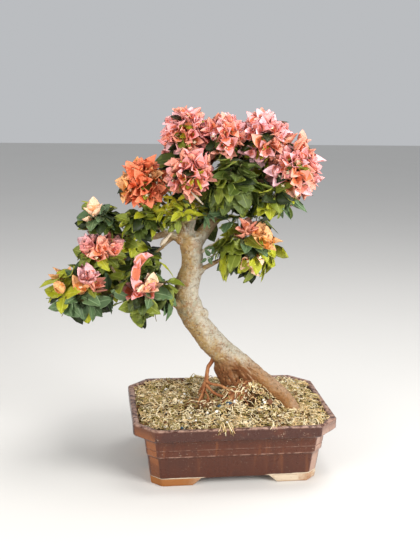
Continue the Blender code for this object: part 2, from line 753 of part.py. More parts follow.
class Mass:
    """One mass of foliage, grown from its bough's tip by a seeded rule."""

    def __init__(self, name, limbs_tree):
        self.name = name
        self.plan = MASSES[name]
        self.space = SPACES[name]
        self.leaf_length = min(LEAF_LENGTH, LEAF_SHARE_OF_MASS * min(self.plan.half_sizes))
        self.chance = random.Random(self.plan.seed)
        self.limbs_tree = limbs_tree
        self.pieces = []
        self.skins = []
        self.wood = []

    def fits(self, points, faces, carriers):
        """Whether a piece stays in the space and clear of every limb and of all but its carriers."""
        if not all(self.space.holds(point) for point in points):
            return None
        skin = BVHTree.FromPolygons(points, faces)
        if skin.overlap(self.limbs_tree):
            return None
        if any(skin.overlap(other) for other in self.skins if other not in carriers):
            return None
        return skin

    def add_blade(self, root, axis, spin, pitch, length, width, carriers, tint, spread=0.0):
        """Add a leaf or bract in the first way that is free, smaller where the space is tight."""
        chance = self.chance
        side = axis.orthogonal().normalized()
        for attempt in range(BLADE_TRIES):
            loose = attempt / BLADE_TRIES
            turned = Matrix.Rotation(spin + chance.uniform(-1, 1) * loose, 3, axis) @ side
            lean = pitch + chance.uniform(*BLADE_LEAN) * loose
            along = axis * math.cos(lean) + turned * math.sin(lean)
            up = axis * math.sin(lean) - turned * math.cos(lean)
            size = 1.0 - BLADE_SHRINK * loose
            points, faces = blade(root + turned * spread, along, up, length * size, width * size)
            skin = self.fits(points, faces, carriers)
            if skin:
                self.pieces.append(solid("blade", points, faces, tint))
                self.skins.append(skin)
                return skin
        return None

    def add_spray(self, line, skin, blossoming, spread=0.0):
        """Leaves round a shoot by the golden angle, with three bracts at a flowering tip."""
        ways = headings(line)
        spin = self.chance.uniform(0, 2 * math.pi)
        tip = line[-1][0] - ways[-1] * line[-1][1]
        if blossoming:
            for bract in range(BRACTS_PER_BLOSSOM):
                turn = spin + bract * 2 * math.pi / BRACTS_PER_BLOSSOM
                size = self.chance.uniform(*BRACT_SIZES)
                root = tip if spread else tip - ways[-1] * BRACT_STEP * bract
                self.add_blade(root, ways[-1], turn, BRACT_PITCH, BRACT_LENGTH * size,
                               BRACT_WIDTH * size, [skin], BRACT_PINK, spread)
        leaves = LEAVES_BESIDE_BLOSSOM if blossoming else LEAVES_PER_SHOOT
        for leaf in range(leaves):
            share = (leaf + blossoming) / (leaves + blossoming)
            root, way = along_line(line, 1 - LEAFY_SHARE_OF_SHOOT * share)
            hang = (way + Vector((0, 0, -LEAF_HANG))).normalized()
            spin += GOLDEN_ANGLE
            size = self.chance.uniform(*LEAF_SIZES) * self.leaf_length
            self.add_blade(root, hang, spin, LEAF_PITCH, size, size * LEAF_SLIMNESS, [skin], LEAF_GREEN,
                           spread * 2)

    def add_carrier(self, made):
        """Keep a stem, shoot or core as a piece that blades spring from."""
        skin = BVHTree.FromPolygons(*surface_of(made))
        self.skins.append(skin)
        self.wood.append(skin)
        return skin

    def add_shoot(self, start, target, blossoming):
        """A shoot from the stem, and its spray."""
        length = (target - start).length
        outward = (target - self.space.centre).normalized()
        leave = start + (target - start) * SHOOT_LEAVING + Vector((0, 0, length * SHOOT_ARCH))
        arrive = target - outward * length * SHOOT_ARRIVING
        bends = 2 if length > LONG_SHOOT else 1
        line = bent_line(start, leave, arrive, target, TWIG_RADIUS, SHOOT_TIP_RADIUS, bends)
        shoot = tube("shoot", line, TWIG_SIDES, BARK)
        if self.fits(*surface_of(shoot), self.wood):
            self.pieces.append(shoot)
            self.add_spray(line, self.add_carrier(shoot), blossoming)
        else:
            bpy.data.objects.remove(shoot, do_unlink=True)

    def core_reach(self, way):
        """How far the core's surface lies from the middle along a direction."""
        return min(self.space.reach(way) * self.plan.core, self.space.room(way) - CORE_INSIDE_WALL)

    def add_core(self):
        """The dense heart of a head of blossom, which its bracts stand out of."""
        space = self.space
        shape = bmesh.new()
        bmesh.ops.create_icosphere(shape, subdivisions=2, radius=1.0)
        for vert in shape.verts:
            way = vert.co.normalized()
            vert.co = space.centre + way * self.core_reach(way)
        mesh_data = bpy.data.meshes.new("core")
        shape.to_mesh(mesh_data)
        shape.free()
        core = place("core", mesh_data, LEAF_GREEN)
        self.pieces.append(core)
        return self.add_carrier(core)

    def shoot_end(self, way, room, blossoming):
        """Where a shoot must stop for its spray to stay in the space."""
        reach = BRACT_LENGTH if blossoming else self.leaf_length
        pitch = BRACT_PITCH if blossoming else LEAF_PITCH
        across = min(reach * math.sin(pitch), room * WIDEST_SPRAY)
        depth = math.sqrt(room * room - across * across) - reach * math.cos(pitch)
        return self.space.centre + way * max(depth, room * NEAREST_SPRAY)

    def grow(self):
        """The stem, then shoots to points spread evenly over the mass, then one fused solid."""
        centre = self.space.centre
        feeder = limb_lines[feeding_limb[self.name]]
        heading = headings(feeder)[-1]
        root = feeder[-1][0] + heading * CLEAR
        lead = root + heading * STEM_LEAD
        end = centre if self.plan.core else centre + (centre - root) * STEM_PAST_CENTRE
        steps = 1 if self.plan.core else STEM_STEPS
        radius = feeder[-1][1] * STEM_FOOT_SHARE
        stem_line = [(root, radius)]
        stem_line += bent_line(lead, lead + heading * STEM_LEAD, root.lerp(end, STEM_GUIDE), end,
                               radius, TWIG_RADIUS, steps)
        stem = tube(self.name, stem_line, TWIG_SIDES, BARK, LEAF_GREEN, BRACT_PINK)
        self.add_carrier(stem)
        core_skin = self.add_core() if self.plan.core else None
        blossom_way = Vector(self.plan.blossom_way).normalized()
        for rank in range(self.plan.shoots):
            share = (rank + 0.5) / self.plan.shoots
            height = 1 - 2 * share
            level = math.sqrt(1 - height * height)
            turn = rank * GOLDEN_ANGLE + self.chance.uniform(-SHOOT_STRAY, SHOOT_STRAY)
            way = Vector((level * math.cos(turn), level * math.sin(turn), height))
            blossoming = (way.dot(blossom_way) + 1) / 2 > 1 - self.plan.blossom_share
            if core_skin:
                surface = centre + way * (self.core_reach(way) - BLADE_SINK)
                inner = surface - way * BLADE_SINK * 4
                self.add_spray([(inner, 0.0), (surface, 0.0)], core_skin, blossoming, CORE_SPREAD)
            else:
                start, onward = along_line(stem_line, 1 - SHOOTS_OVER_STEM * share)
                self.add_shoot(start, self.shoot_end(way, self.space.room(way), blossoming), blossoming)
        combine(stem, "UNION", self.pieces)
        keep_largest_body(stem)


def tree_of_limbs():
    """The skins of the trunk, the hanging root and every limb, for keeping foliage clear of them."""
    skins = [trunk_solid("skin", SIDE_CLEAR)]
    skins += [limb_solid("skin", line, SIDE_CLEAR) for line in limb_lines.values()]
    points = []
    faces = []
    for skin in skins:
        first = len(points)
        skin_points, skin_faces = surface_of(skin)
        points += skin_points
        faces += [tuple(first + index for index in face) for face in skin_faces]
        bpy.data.objects.remove(skin, do_unlink=True)
    return BVHTree.FromPolygons(points, faces)


def build_trunk():
    """The trunk, cut flat at the ground."""
    trunk = combine(trunk_solid("trunk"), "DIFFERENCE", [ground_block()])
    keep_largest_body(trunk)
    trunk.data.shade_smooth()


def build_root():
    """The hanging root, cut flat at the ground and clear of the trunk."""
    root = combine(root_solid("aerial_root"), "DIFFERENCE", [ground_block(), trunk_solid("cutter", CLEAR)])
    keep_largest_body(root)


build_pot()
for foot_name, side_x, side_y in (("foot_front_left", -1, -1), ("foot_front_right", 1, -1),
                                  ("foot_back_left", -1, 1), ("foot_back_right", 1, 1)):
    build_foot(foot_name, side_x, side_y)
build_soil()
build_trunk()
build_root()
# The default solver leaves the moss open where the roots cut it
moss = combine(build_moss(), "DIFFERENCE", [trunk_solid("cutter", CLEAR)], "MANIFOLD")
combine(moss, "DIFFERENCE", [root_solid("cutter", CLEAR)], "MANIFOLD")
keep_largest_body(moss)
build_limbs()
limbs_tree = tree_of_limbs()
for mass_name in MASSES:
    Mass(mass_name, limbs_tree).grow()


def centre_on_footprint():
    """Move every solid so that the origin is the bottom centre of the whole object."""
    bpy.context.view_layer.update()
    points = [thing.matrix_world @ vert.co for thing in bpy.data.objects for vert in thing.data.vertices]
    middle_x = (min(p.x for p in points) + max(p.x for p in points)) / 2
    middle_y = (min(p.y for p in points) + max(p.y for p in points)) / 2
    for thing in bpy.data.objects:
        thing.data.transform(Matrix.Translation((-middle_x, -middle_y, 0.0)))


centre_on_footprint()
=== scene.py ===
from collections import namedtuple
from itertools import permutations, product
import math
import random

import bmesh
import bpy
import numpy as np
from mathutils import Matrix, Vector, noise
from mathutils.bvhtree import BVHTree


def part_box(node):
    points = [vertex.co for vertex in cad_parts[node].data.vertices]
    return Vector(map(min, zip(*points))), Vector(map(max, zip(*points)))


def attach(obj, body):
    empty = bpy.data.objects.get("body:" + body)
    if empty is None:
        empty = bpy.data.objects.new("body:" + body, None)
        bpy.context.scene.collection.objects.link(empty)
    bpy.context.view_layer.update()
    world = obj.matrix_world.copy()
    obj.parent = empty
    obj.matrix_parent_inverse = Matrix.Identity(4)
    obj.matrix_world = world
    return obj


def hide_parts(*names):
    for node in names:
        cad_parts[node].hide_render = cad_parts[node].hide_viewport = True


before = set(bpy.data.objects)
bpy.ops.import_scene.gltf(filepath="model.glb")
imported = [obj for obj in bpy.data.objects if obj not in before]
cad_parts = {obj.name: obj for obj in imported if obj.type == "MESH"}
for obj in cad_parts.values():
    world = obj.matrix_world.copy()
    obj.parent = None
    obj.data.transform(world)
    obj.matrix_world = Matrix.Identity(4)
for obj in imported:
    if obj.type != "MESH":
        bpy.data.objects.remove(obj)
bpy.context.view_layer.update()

# The pot is a low stoneware bowl with cut corners, pressed in a mould: two tapering tiers parted by
# a ledge, under a thick lip.  Its red-brown glaze turns mauve on the lip and runs in faint streaks down
# the walls.  Along its edges it is worn pale, with painted highlights in the same pale, and its cut
# corners carry painted light: warm orange on the left one, a pale highlight with some wear on the right.
pot_low, pot_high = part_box("pot")
POT_MIDDLE = Vector(((pot_low.x + pot_high.x) / 2, (pot_low.y + pot_high.y) / 2, 0.0))
POT_LEVELS = (
    # length, width, corner cut, height, and how far the edge there is rounded, in millimetres
    (270.0, 182.0, 16.0, 13.0, 0.0), (281.8, 193.6, 17.1, 13.0, 1.6), (290.5, 200.5, 17.5, 51.2, 1.8),
    (296.0, 206.0, 17.8, 54.8, 1.6), (297.6, 207.6, 17.9, 64.0, 1.0), (296.6, 206.6, 17.9, 65.2, 0.6),
    (298.4, 208.4, 17.9, 66.8, 1.0), (302.0, 212.0, 18.0, 85.0, 9.0), (339.4, 249.4, 34.8, 91.2, 3.0),
    (340.0, 250.0, 35.0, 110.0, 3.2), (322.0, 232.0, 31.0, 110.0, 2.6), (284.0, 194.0, 16.0, 80.0, 0.0),
    (266.0, 176.0, 14.0, 26.0, 0.0),
)
LIP_BOTTOM = 0.0895
LIP_TOP = 0.11
LEDGE = 0.0548
# The heights of the edges that are laid pale, partly worn glaze and partly painted highlight: how far the
# pale reaches and how strong it is
EDGE_WEAR_AND_HIGHLIGHTS = ((0.0905, 0.0016, 0.7), (LEDGE, 0.0018, 0.9), (0.0668, 0.0012, 0.5))
EDGE_STEPS = 5
WALL_STEP = 0.007
WALL_TURN = 0.0036
SIDE_RUNS = (18, 4, 26, 4)
HAND_WAVE = 0.0005
HAND_RIPPLE = 0.00014
MAUVE_GLAZE = (0.056, 0.018, 0.012)
RED_GLAZE = (0.087, 0.023, 0.01)
DARK_GLAZE = (0.048, 0.016, 0.01)
WORN_GLAZE_AND_HIGHLIGHT = (0.39, 0.24, 0.18)
RUST_GLAZE_AND_WARM_LIGHT = (0.26, 0.085, 0.024)
BARE_CLAY = (0.56, 0.46, 0.34)
WARM_CLAY = (0.28, 0.095, 0.015)


def arc(start, turn, end):
    """The small bend that takes the place of a sharp turn."""
    shares = [step / EDGE_STEPS for step in range(EDGE_STEPS + 1)]
    return [start * (1 - t) ** 2 + turn * 2 * t * (1 - t) + end * t * t for t in shares]


def gap(one, other):
    """How far apart two levels of the pot lie along its wall."""
    return math.hypot((other[1] - one[1]) / 2, other[3] - one[3])


def softened(levels):
    """The levels of the pot with every edge turned into a small arc, and long walls in steps."""
    rows = [np.array(level[:4]) / 1000 for level in levels]
    soft = []
    for index, row in enumerate(rows):
        rounding = levels[index][4] / 1000
        if rounding:
            before, after = rows[index - 1], rows[index + 1]
            soft += arc(row + (before - row) * rounding / gap(row, before), row,
                        row + (after - row) * rounding / gap(row, after))
        else:
            soft.append(row)
    filled = [soft[0]]
    for row in soft[1:]:
        before = filled[-1]
        steps = max(1, round(gap(before, row) / WALL_STEP))
        filled += [before + (row - before) * step / steps for step in range(1, steps + 1)]
    return filled


def pot_ring(length, width, cut, height):
    """One level of the pot as a closed ring: a rectangle with cut corners and softened turns."""
    x, y = length / 2, width / 2
    plan = ((x, cut - y), (x, y - cut), (x - cut, y), (cut - x, y),
            (-x, y - cut), (-x, cut - y), (cut - x, -y), (x - cut, -y))
    corners = [Vector((cx, cy, height)) for cx, cy in plan]
    ring = []
    for index, corner in enumerate(corners):
        onward = corners[(index + 1) % len(corners)]
        start = corner + (corners[index - 1] - corner).normalized() * WALL_TURN
        end = corner + (onward - corner).normalized() * WALL_TURN
        stop = onward + (corner - onward).normalized() * WALL_TURN
        runs = SIDE_RUNS[index % 4]
        ring += arc(start, corner, end)[:-1] + [end.lerp(stop, run / runs) for run in range(runs)]
    return ring


def woven(name, points, faces):
    """A mesh from points and faces, smoothly shaded."""
    mesh = bpy.data.meshes.new(name)
    mesh.from_pydata(points, [], faces)
    mesh.shade_smooth()
    return mesh


def wall_faces(sides, levels, first=0):
    """The faces of a closed wall through rings of equally many points."""
    faces = []
    for low in range(first, first + (levels - 1) * sides, sides):
        for spoke in range(sides):
            beside = (spoke + 1) % sides
            faces.append((low + spoke, low + beside, low + sides + beside, low + sides + spoke))
    return faces


def lofted(name, rings):
    """A closed mesh through rings of points."""
    count = len(rings[0])
    points = [point for ring in rings for point in ring]
    ends = [tuple(reversed(range(count))), tuple(range(len(points) - count, len(points)))]
    return woven(name, points, wall_faces(count, len(rings)) + ends)


def places_of(mesh):
    """The places of a mesh's points as rows."""
    places = np.empty(len(mesh.vertices) * 3)
    mesh.vertices.foreach_get("co", places)
    return places.reshape(-1, 3)


def lumps(spots):
    """A cloudy unevenness from -1 to 1 at each of many spots."""
    return np.array([noise.noise(Vector(spot)) for spot in spots])


def push_out(mesh, lifts):
    """Move each point of a mesh along its own normal by its own lift."""
    normals = np.array([normal.vector for normal in mesh.vertex_normals])
    mesh.vertices.foreach_set("co", (places_of(mesh) + normals * lifts[:, None]).ravel())
    mesh.update()


class Layer:
    """A pattern or a colour of a finish.  Patterns can be added, multiplied and eased."""

    def __init__(self, finish, socket):
        self.finish = finish
        self.socket = socket

    def work(self, operation, other=0.0):
        return self.finish.add("ShaderNodeMath", {0: self, 1: other}, operation=operation)

    def __add__(self, other):
        return self.work("ADD", other)

    def __sub__(self, other):
        return self.work("SUBTRACT", other)

    def __mul__(self, other):
        return self.work("MULTIPLY", other)

    def ease(self, low, high, bottom=0.0, top=1.0):
        """A smooth step from bottom to top as the pattern goes from low to high."""
        return self.finish.add("ShaderNodeMapRange", {0: self, 1: low, 2: high, 3: bottom, 4: top},
                               interpolation_type="SMOOTHSTEP")

    def ridge(self, middle, reach):
        """1 where the pattern is at its middle value, falling to 0 at its reach either way."""
        return (self - middle).work("ABSOLUTE").ease(0.0, reach, 1.0, 0.0)


class Finish:
    """A finish laid on in layers, from patterns that follow the piece's own place and slope."""

    def __init__(self, name, colour, roughness, gloss):
        self.colour = colour
        self.material = bpy.data.materials.new(name)
        self.material.use_nodes = True
        self.nodes = self.material.node_tree.nodes
        self.shader = self.nodes["Principled BSDF"]
        self.shader.inputs["Roughness"].default_value = roughness
        self.shader.inputs["Specular IOR Level"].default_value = gloss
        self.place = self.add("ShaderNodeTexCoord", {}, "Object")

    def wire(self, value, socket):
        """Set a socket to a number or colour, or link a layer to it."""
        if isinstance(value, Layer):
            self.material.node_tree.links.new(value.socket, socket)
        else:
            socket.default_value = (*value, 1.0) if socket.type == "RGBA" else value

    def add(self, kind, inputs, output=0, **settings):
        """A new node with its inputs wired, as a layer."""
        node = self.nodes.new(kind)
        for setting, value in settings.items():
            setattr(node, setting, value)
        for key, value in inputs.items():
            self.wire(value, node.inputs[key])
        return Layer(self, node.outputs[output])

    def speckle(self, scale, detail=3.0, stretch=(1, 1, 1), roughness=0.55):
        """A cloudy pattern from 0 to 1, with so many clouds to the metre."""
        place = self.add("ShaderNodeMapping", {"Vector": self.place, "Scale": stretch})
        return self.add("ShaderNodeTexNoise", {"Vector": place, "Scale": scale, "Detail": detail,
                                               "Roughness": roughness})

    def along(self, axis):
        """How far along X, Y or Z a point lies, in metres."""
        return self.add("ShaderNodeSeparateXYZ", {0: self.place}, axis)

    def facing(self, axis):
        """How far the surface faces towards X, Y or Z, from -1 to 1."""
        slope = self.add("ShaderNodeNewGeometry", {}, "Normal")
        return self.add("ShaderNodeSeparateXYZ", {0: slope}, axis)

    def over(self, under, top, share):
        """A colour laid over another, as far as a pattern lets it show."""
        return self.add("ShaderNodeMix", {0: share, 6: under, 7: top}, 2, data_type="RGBA")

    def lay(self, top, share):
        """Lay a colour over what the finish has so far."""
        self.colour = self.over(self.colour, top, share)

    def paint(self, relief=None, depth=0.0, roughness=None):
        """The material, with its colour and where wanted its fine relief and its roughness."""
        self.wire(self.colour, self.shader.inputs["Base Color"])
        if roughness:
            self.wire(roughness, self.shader.inputs["Roughness"])
        if relief:
            bump = self.add("ShaderNodeBump", {"Height": relief, "Distance": depth}, "Normal")
            self.wire(bump, self.shader.inputs["Normal"])
        return self.material


def mottled(name, surface, colour, cloud, tops, depth, grain=None):
    """One colour on a rough or glossy surface, with others over it where a pattern runs high or low."""
    finish = Finish(name, colour, *surface)
    pattern = finish.speckle(*cloud)
    for top, low, high, share in tops:
        finish.lay(top, pattern.ease(low, high, 0.0, share))
    return finish.paint(finish.speckle(*grain) if grain else pattern, depth)


def toned(colour, share):
    """A colour made darker or lighter."""
    return tuple(float(channel) for channel in np.minimum(np.multiply(colour, share), 0.95))


def shown(name, data):
    """A new object in the scene."""
    made = bpy.data.objects.new(name, data)
    bpy.context.scene.collection.objects.link(made)
    return made


def set_down(name, mesh, slot, nodes, *finishes):
    """Stand a piece in the plant, laid out round the middle of the pot, for the nodes it replaces."""
    made = shown(name, mesh)
    made.location = POT_MIDDLE
    for finish in finishes:
        mesh.materials.append(finish)
    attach(made, "root")
    if nodes:
        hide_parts(*nodes)


pot_mesh = lofted("pot_body", [pot_ring(*row) for row in softened(POT_LEVELS)])
places = places_of(pot_mesh)
push_out(pot_mesh, HAND_WAVE * lumps(places * 13) + HAND_RIPPLE * lumps(places * 70))

glaze = Finish("red_brown_glaze", RED_GLAZE, 0.42, 0.4)
height = glaze.along("Z")
wander = glaze.speckle(22)
streaks = glaze.speckle(95, 4, (1, 1, 0.06))
clouds = glaze.speckle(34, 5)
glaze.lay(DARK_GLAZE, streaks.ease(0.47, 0.8, 0.0, 0.55))
glaze.lay(RUST_GLAZE_AND_WARM_LIGHT, streaks.ease(0.44, 0.2, 0.0, 0.5))
# The lower tier is laid darker from just under the ledge down: partly the glaze's own darker tone there,
# partly painted shadow cast by the ledge.
glaze.lay(DARK_GLAZE, height.ease(LEDGE - 0.001, LEDGE - 0.003, 0.0, 0.4))
glaze.lay(DARK_GLAZE, clouds.ease(0.52, 0.72, 0.0, 0.45))
lip = glaze.over(MAUVE_GLAZE, RED_GLAZE, clouds.ease(0.5, 0.7, 0.0, 0.8))
glaze.lay(lip, height.ease(LIP_BOTTOM - 0.001, LIP_BOTTOM + 0.002))
# The lip's top, its lower edge, the ledge and the groove are laid pale: partly worn glaze, partly a painted
# highlight along each edge.
edges = height.ridge(LIP_TOP, 0.0032)
for level, reach, share in EDGE_WEAR_AND_HIGHLIGHTS:
    edges = edges.work("MAXIMUM", height.ridge(level, reach) * share)
glaze.lay(WORN_GLAZE_AND_HIGHLIGHT, edges * glaze.speckle(130, 4).ease(0.36, 0.62, 0.0, 0.85))
# Painted light on the cut corners: warm orange light on the left one, and a pale highlight with some wear
# on the right one.
on_cut = wander.ease(0.36, 0.56, 0.45, 0.95) * height.ease(LIP_TOP, LIP_BOTTOM, 0.35, 1.0)
for axis in "XY":
    on_cut = on_cut * glaze.facing(axis).work("ABSOLUTE").ridge(0.7, 0.2)
glaze.lay(glaze.over(RUST_GLAZE_AND_WARM_LIGHT, WORN_GLAZE_AND_HIGHLIGHT, glaze.along("X").ease(-0.02, 0.02)), on_cut)
crumbs = glaze.speckle(420, 2).ease(0.66, 0.72, 0.0, 0.7) * clouds.ease(0.45, 0.6, 0.15, 1.0)
glaze.lay(BARE_CLAY, crumbs * height.ease(0.046, 0.054, 0.35, 1.0))
# The glaze stops in a wavering line above each foot
bare = (wander * 0.006 - height + 0.0125).ease(-0.0004, 0.0004)
for axis, start, full in (("X", 0.048, 0.06), ("Y", 0.03, 0.042)):
    bare = bare * glaze.along(axis).work("ABSOLUTE").ease(start, full)
glaze.lay(BARE_CLAY, bare)
pot_relief = glaze.speckle(260, 4) + streaks * 1.2
set_down("pot_body", pot_mesh, "pot_glaze", ["pot"],
         glaze.paint(pot_relief, 0.0005, clouds.ease(0.35, 0.7, 0.22, 0.46) + bare * 0.4))

# The four feet are part of the same clay, cut back to an L round each corner with sloping ends.
# They were wiped clean of glaze before the firing, so they show the cream-coloured body.
FOOT_LEVELS = (
    # length, width and corner cut of the pot there, how far the foot runs along it, and height
    (0.279, 0.191, 0.017, 0.068, 0.0), (0.2818, 0.1936, 0.0171, 0.084, 0.0128),
)
FOOT_THICKNESS = 0.02
FOOT_EDGE = 0.0016
FOOT_WAVE = 0.0006
FOOT_GRAIN = 0.008


def foot_outline(length, width, cut, run, height):
    """The plan of one foot at a level: an L round the corner of the pot."""
    x, y = length / 2, width / 2
    inner_x, inner_y = x - FOOT_THICKNESS, y - FOOT_THICKNESS
    plan = ((x - run, y), (x - cut, y), (x, y - cut), (x, y - run),
            (inner_x, y - run), (inner_x, inner_y), (x - run, inner_y))
    return [Vector((px, py, height)) for px, py in plan]


feet = bmesh.new()
for side_x, side_y in ((-1, -1), (1, -1), (-1, 1), (1, 1)):
    foot_mesh = lofted("foot", [foot_outline(*level) for level in FOOT_LEVELS])
    foot_mesh.transform(Matrix.Diagonal((side_x, side_y, 1, 1)))
    feet.from_mesh(foot_mesh)
    bpy.data.meshes.remove(foot_mesh)
bmesh.ops.recalc_face_normals(feet, faces=feet.faces)
bmesh.ops.bevel(feet, geom=feet.edges, offset=FOOT_EDGE, segments=3, profile=0.5, affect="EDGES")
bmesh.ops.triangulate(feet, faces=feet.faces)
long_edges = [edge for edge in feet.edges if edge.calc_length() > FOOT_GRAIN]
bmesh.ops.subdivide_edges(feet, edges=long_edges, cuts=3, use_grid_fill=True)
feet_mesh = bpy.data.meshes.new("feet")
feet.to_mesh(feet_mesh)
feet.free()
feet_mesh.shade_smooth()
places = places_of(feet_mesh)
push_out(feet_mesh, FOOT_WAVE * lumps(places * 90) * np.minimum(1.0, places[:, 2] / 0.004))
clay = Finish("bare_clay", BARE_CLAY, 0.85, 0.3)
clay.lay(WARM_CLAY, clay.speckle(45, 4).ease(0.42, 0.66, 0.0, 0.7))
# Painted warm light: the feet turn warmer and more orange towards the left end of the pot.
clay.lay(WARM_CLAY, clay.along("X").ease(0.02, -0.1, 0.0, 0.95))
clay.lay(DARK_GLAZE, clay.speckle(300).ease(0.64, 0.74, 0.0, 0.4))
clay.lay(WARM_CLAY, clay.along("Z").ease(0.004, 0.0, 0.0, 0.6))
set_down("feet", feet_mesh, "bare_clay",
         ["foot_front_left", "foot_front_right", "foot_back_left", "foot_back_right"],
         clay.paint(clay.speckle(500), 0.0004))

# The soil is a dark, gritty bonsai mix that fills the pot up to just under the moss.  Hardly any of
# it shows, so the CAD solid stays and only gets the look of crumbly earth.
SOIL_BROWN = (0.048, 0.03, 0.018)
SOIL_GREY = (0.15, 0.115, 0.085)
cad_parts["potting_soil"].material_slots[0].material = mottled(
    "potting_soil", (0.95, 0.2), SOIL_BROWN, (320, 4), [(SOIL_GREY, 0.55, 0.72, 1.0)], 0.0015)

# The trunk leans up from a leg at the right to a fork over the left end of the pot.  It swells at
# its foot into a mass of fused roots.  It, the limbs and the boughs that feed the masses are one
# growth of smooth pale bark, pitted with dark specks, and wrinkled and split at the foot.
TRUNK = (
    # x, y, z and radius, in millimetres, as for every limb and root
    (114, -44, 90, 13.8), (91, -34, 126, 13.6), (45, -14, 161, 16.5), (1, 2, 188, 23.5),
    (-36, 9, 224, 21.2), (-65, 12, 268, 21.2), (-75, 12, 309, 20.8), (-66, 9, 351, 18.0),
    (-68, 9, 388, 20.0), (-69, 9, 404, 19.5),
)
ROOT_FLARE = (
    (-6, 6, 206, 18.0), (-3, 4, 174, 23.5), (9, 3, 147, 24.0), (15, 2, 121, 22.5), (18, 2, 88, 25.0),
)
FRONT_RIDGE = (
    (4, -10, 197, 9.0), (21, -17, 175, 11.5), (36, -22, 153, 10.2), (48, -26, 130, 8.5), (55, -28, 88, 9.5),
)
LEG_RIDGE = ((24, -13, 178, 9.0), (46, -23, 157, 9.0), (66, -29, 139, 7.0))
KNOTS = ((-48, 4, 267, 11.5), (-87, 10, 288, 12.5), (-54, 2, 345, 8.5), (-86, 4, 396, 8.5))
HOLLOWS = (
    # x, y, z, radius and depth of a dark crotch or a scar, in millimetres
    (-62, -6, 411, 7.5, 5), (-58, -10, 372, 3, 3), (12, -18, 170, 5, 4), (28, -28, 158, 4, 3),
    (-4, -16, 158, 5, 3),
)
LIMBS = {
    "left_limb": ((-72, 9, 386, 16.0), (-77, 8, 412, 14.0), (-66, 7, 446, 10.5), (-57, 8, 485, 7.4),
                  (-62, 9, 524, 5.5), (-71, 10, 548, 4.2)),
    "right_limb": ((-64, 10, 384, 14.0), (-44, 13, 411, 11.0), (-13, 14, 447, 8.3), (6, 11, 473, 6.6),
                   (26, 3, 512, 5.0), (35, -1, 533, 4.2)),
    "arm": ((-70, 9, 385, 10.0), (-90, 9, 399, 8.2), (-109, 10, 405, 6.4), (-140, 15, 399, 5.0),
            (-190, 22, 405, 3.6)),
    "low_bough": ((-74, 12, 285, 9.0), (-111, 6, 289, 5.7), (-162, 10, 296, 4.2), (-204, 16, 301, 3.2)),
    "middle_twig": ((-74, 12, 322, 4.4), (-103, 4, 325, 3.1), (-119, 0, 322, 2.6)),
    "right_branch": ((-67, 9, 337, 5.8), (-41, -2, 352, 4.3), (-12, -10, 369, 3.1), (3, -13, 375, 2.6)),
}
# Masses of foliage: each is fed by a limb's tip, or by its own bough from a share of the way along
# that limb.  Middles and half sizes are in millimetres.
TIP = None
UP = (0, 0, 1)
Plan = namedtuple("Plan", "centre half_sizes limb where sprays greens blossom_way blossom_share bracts",
                  defaults=(UP, 0.0, ""))
MASSES = {
    "dome_left": Plan((-79, 11, 573), (38, 40, 43), "left_limb", TIP, 42, "mid yellow",
                      (0, -0.3, 1), 0.96, "rose blush salmon salmon"),
    "head_front": Plan((-77, -40, 511), (39, 34, 40), "left_limb", 0.36, 34, "yellow mid",
                       (0, -1, 0.4), 0.85, "rose salmon rose salmon"),
    "ball_orange": Plan((-148, 5, 487), (38, 36, 44), "left_limb", 0.22, 46, "yellow mid",
                        (-0.2, -0.5, 1), 0.97, "coral orange coral"),
    "head_mid": Plan((-21, -8, 565), (37, 42, 40), "right_limb", 0.58, 38, "mid deep",
                     (0, -0.4, 1), 0.8, "rose blush salmon"),
    "head_right": Plan((45, -6, 563), (48, 46, 48), "right_limb", TIP, 50, "mid yellow",
                       (0.1, -0.5, 1), 0.92, "rose blush salmon blush"),
    "shoulder_right": Plan((93, -30, 517), (44, 44, 62), "right_limb", 0.66, 52, "deep mid",
                           (0.5, -0.8, 0.6), 0.9, "rose salmon blush salmon"),
    "under_front": Plan((-10, -44, 490), (52, 40, 62), "right_limb", 0.38, 36, "deep deep mid"),
    "under_shoulder": Plan((56, -48, 468), (48, 36, 36), "right_limb", 0.52, 24, "mid deep yellow"),
    "arm_tip": Plan((-217, 25, 420), (40, 38, 42), "arm", TIP, 24, "mid blue deep mid"),
    "arm_inner": Plan((-146, 4, 426), (50, 40, 40), "arm", 0.36, 32, "mid deep yellow"),
    "drop_left": Plan((-143, 36, 354), (54, 34, 38), "arm", 0.3, 20, "deep deep mid"),
    "pad_high_left": Plan((-217, 14, 372), (44, 36, 30), "low_bough", 0.7, 12, "mid yellow"),
    "pad_low_left": Plan((-256, 20, 300), (72, 50, 60), "low_bough", TIP, 30, "mid yellow mid yellow blue"),
    "pad_low_mid": Plan((-147, -8, 304), (60, 46, 70), "middle_twig", TIP, 28, "deep blue mid deep blue"),
    "pad_right": Plan((22, -17, 391), (64, 46, 80), "right_branch", TIP, 34, "mid yellow mid blue yellow"),
    "fork_sprig": Plan((-90, -38, 442), (54, 28, 36), "left_limb", 0.12, 14, "yellow mid yellow"),
    "back_left": Plan((-74, 72, 508), (54, 40, 60), "left_limb", 0.3, 40, "mid deep yellow",
                      (0, 0.7, 0.8), 0.4, "rose salmon blush"),
    "back_right": Plan((37, 62, 506), (80, 44, 70), "right_limb", 0.36, 42, "deep mid yellow",
                       (0, 0.7, 0.8), 0.4, "rose coral blush"),
    "back_pad": Plan((-190, 92, 314), (68, 38, 52), "low_bough", 0.42, 34, "mid deep yellow",
                     (0, 0.8, 0.6), 0.22, "orange rose"),
}
BARK_GRAIN = 0.00122
TRUNK_SIDES = 26
TRUNK_STEPS = 7
LIMB_SIDES = 12
LIMB_STEPS = 5
BARK_GROUND = 0.1003
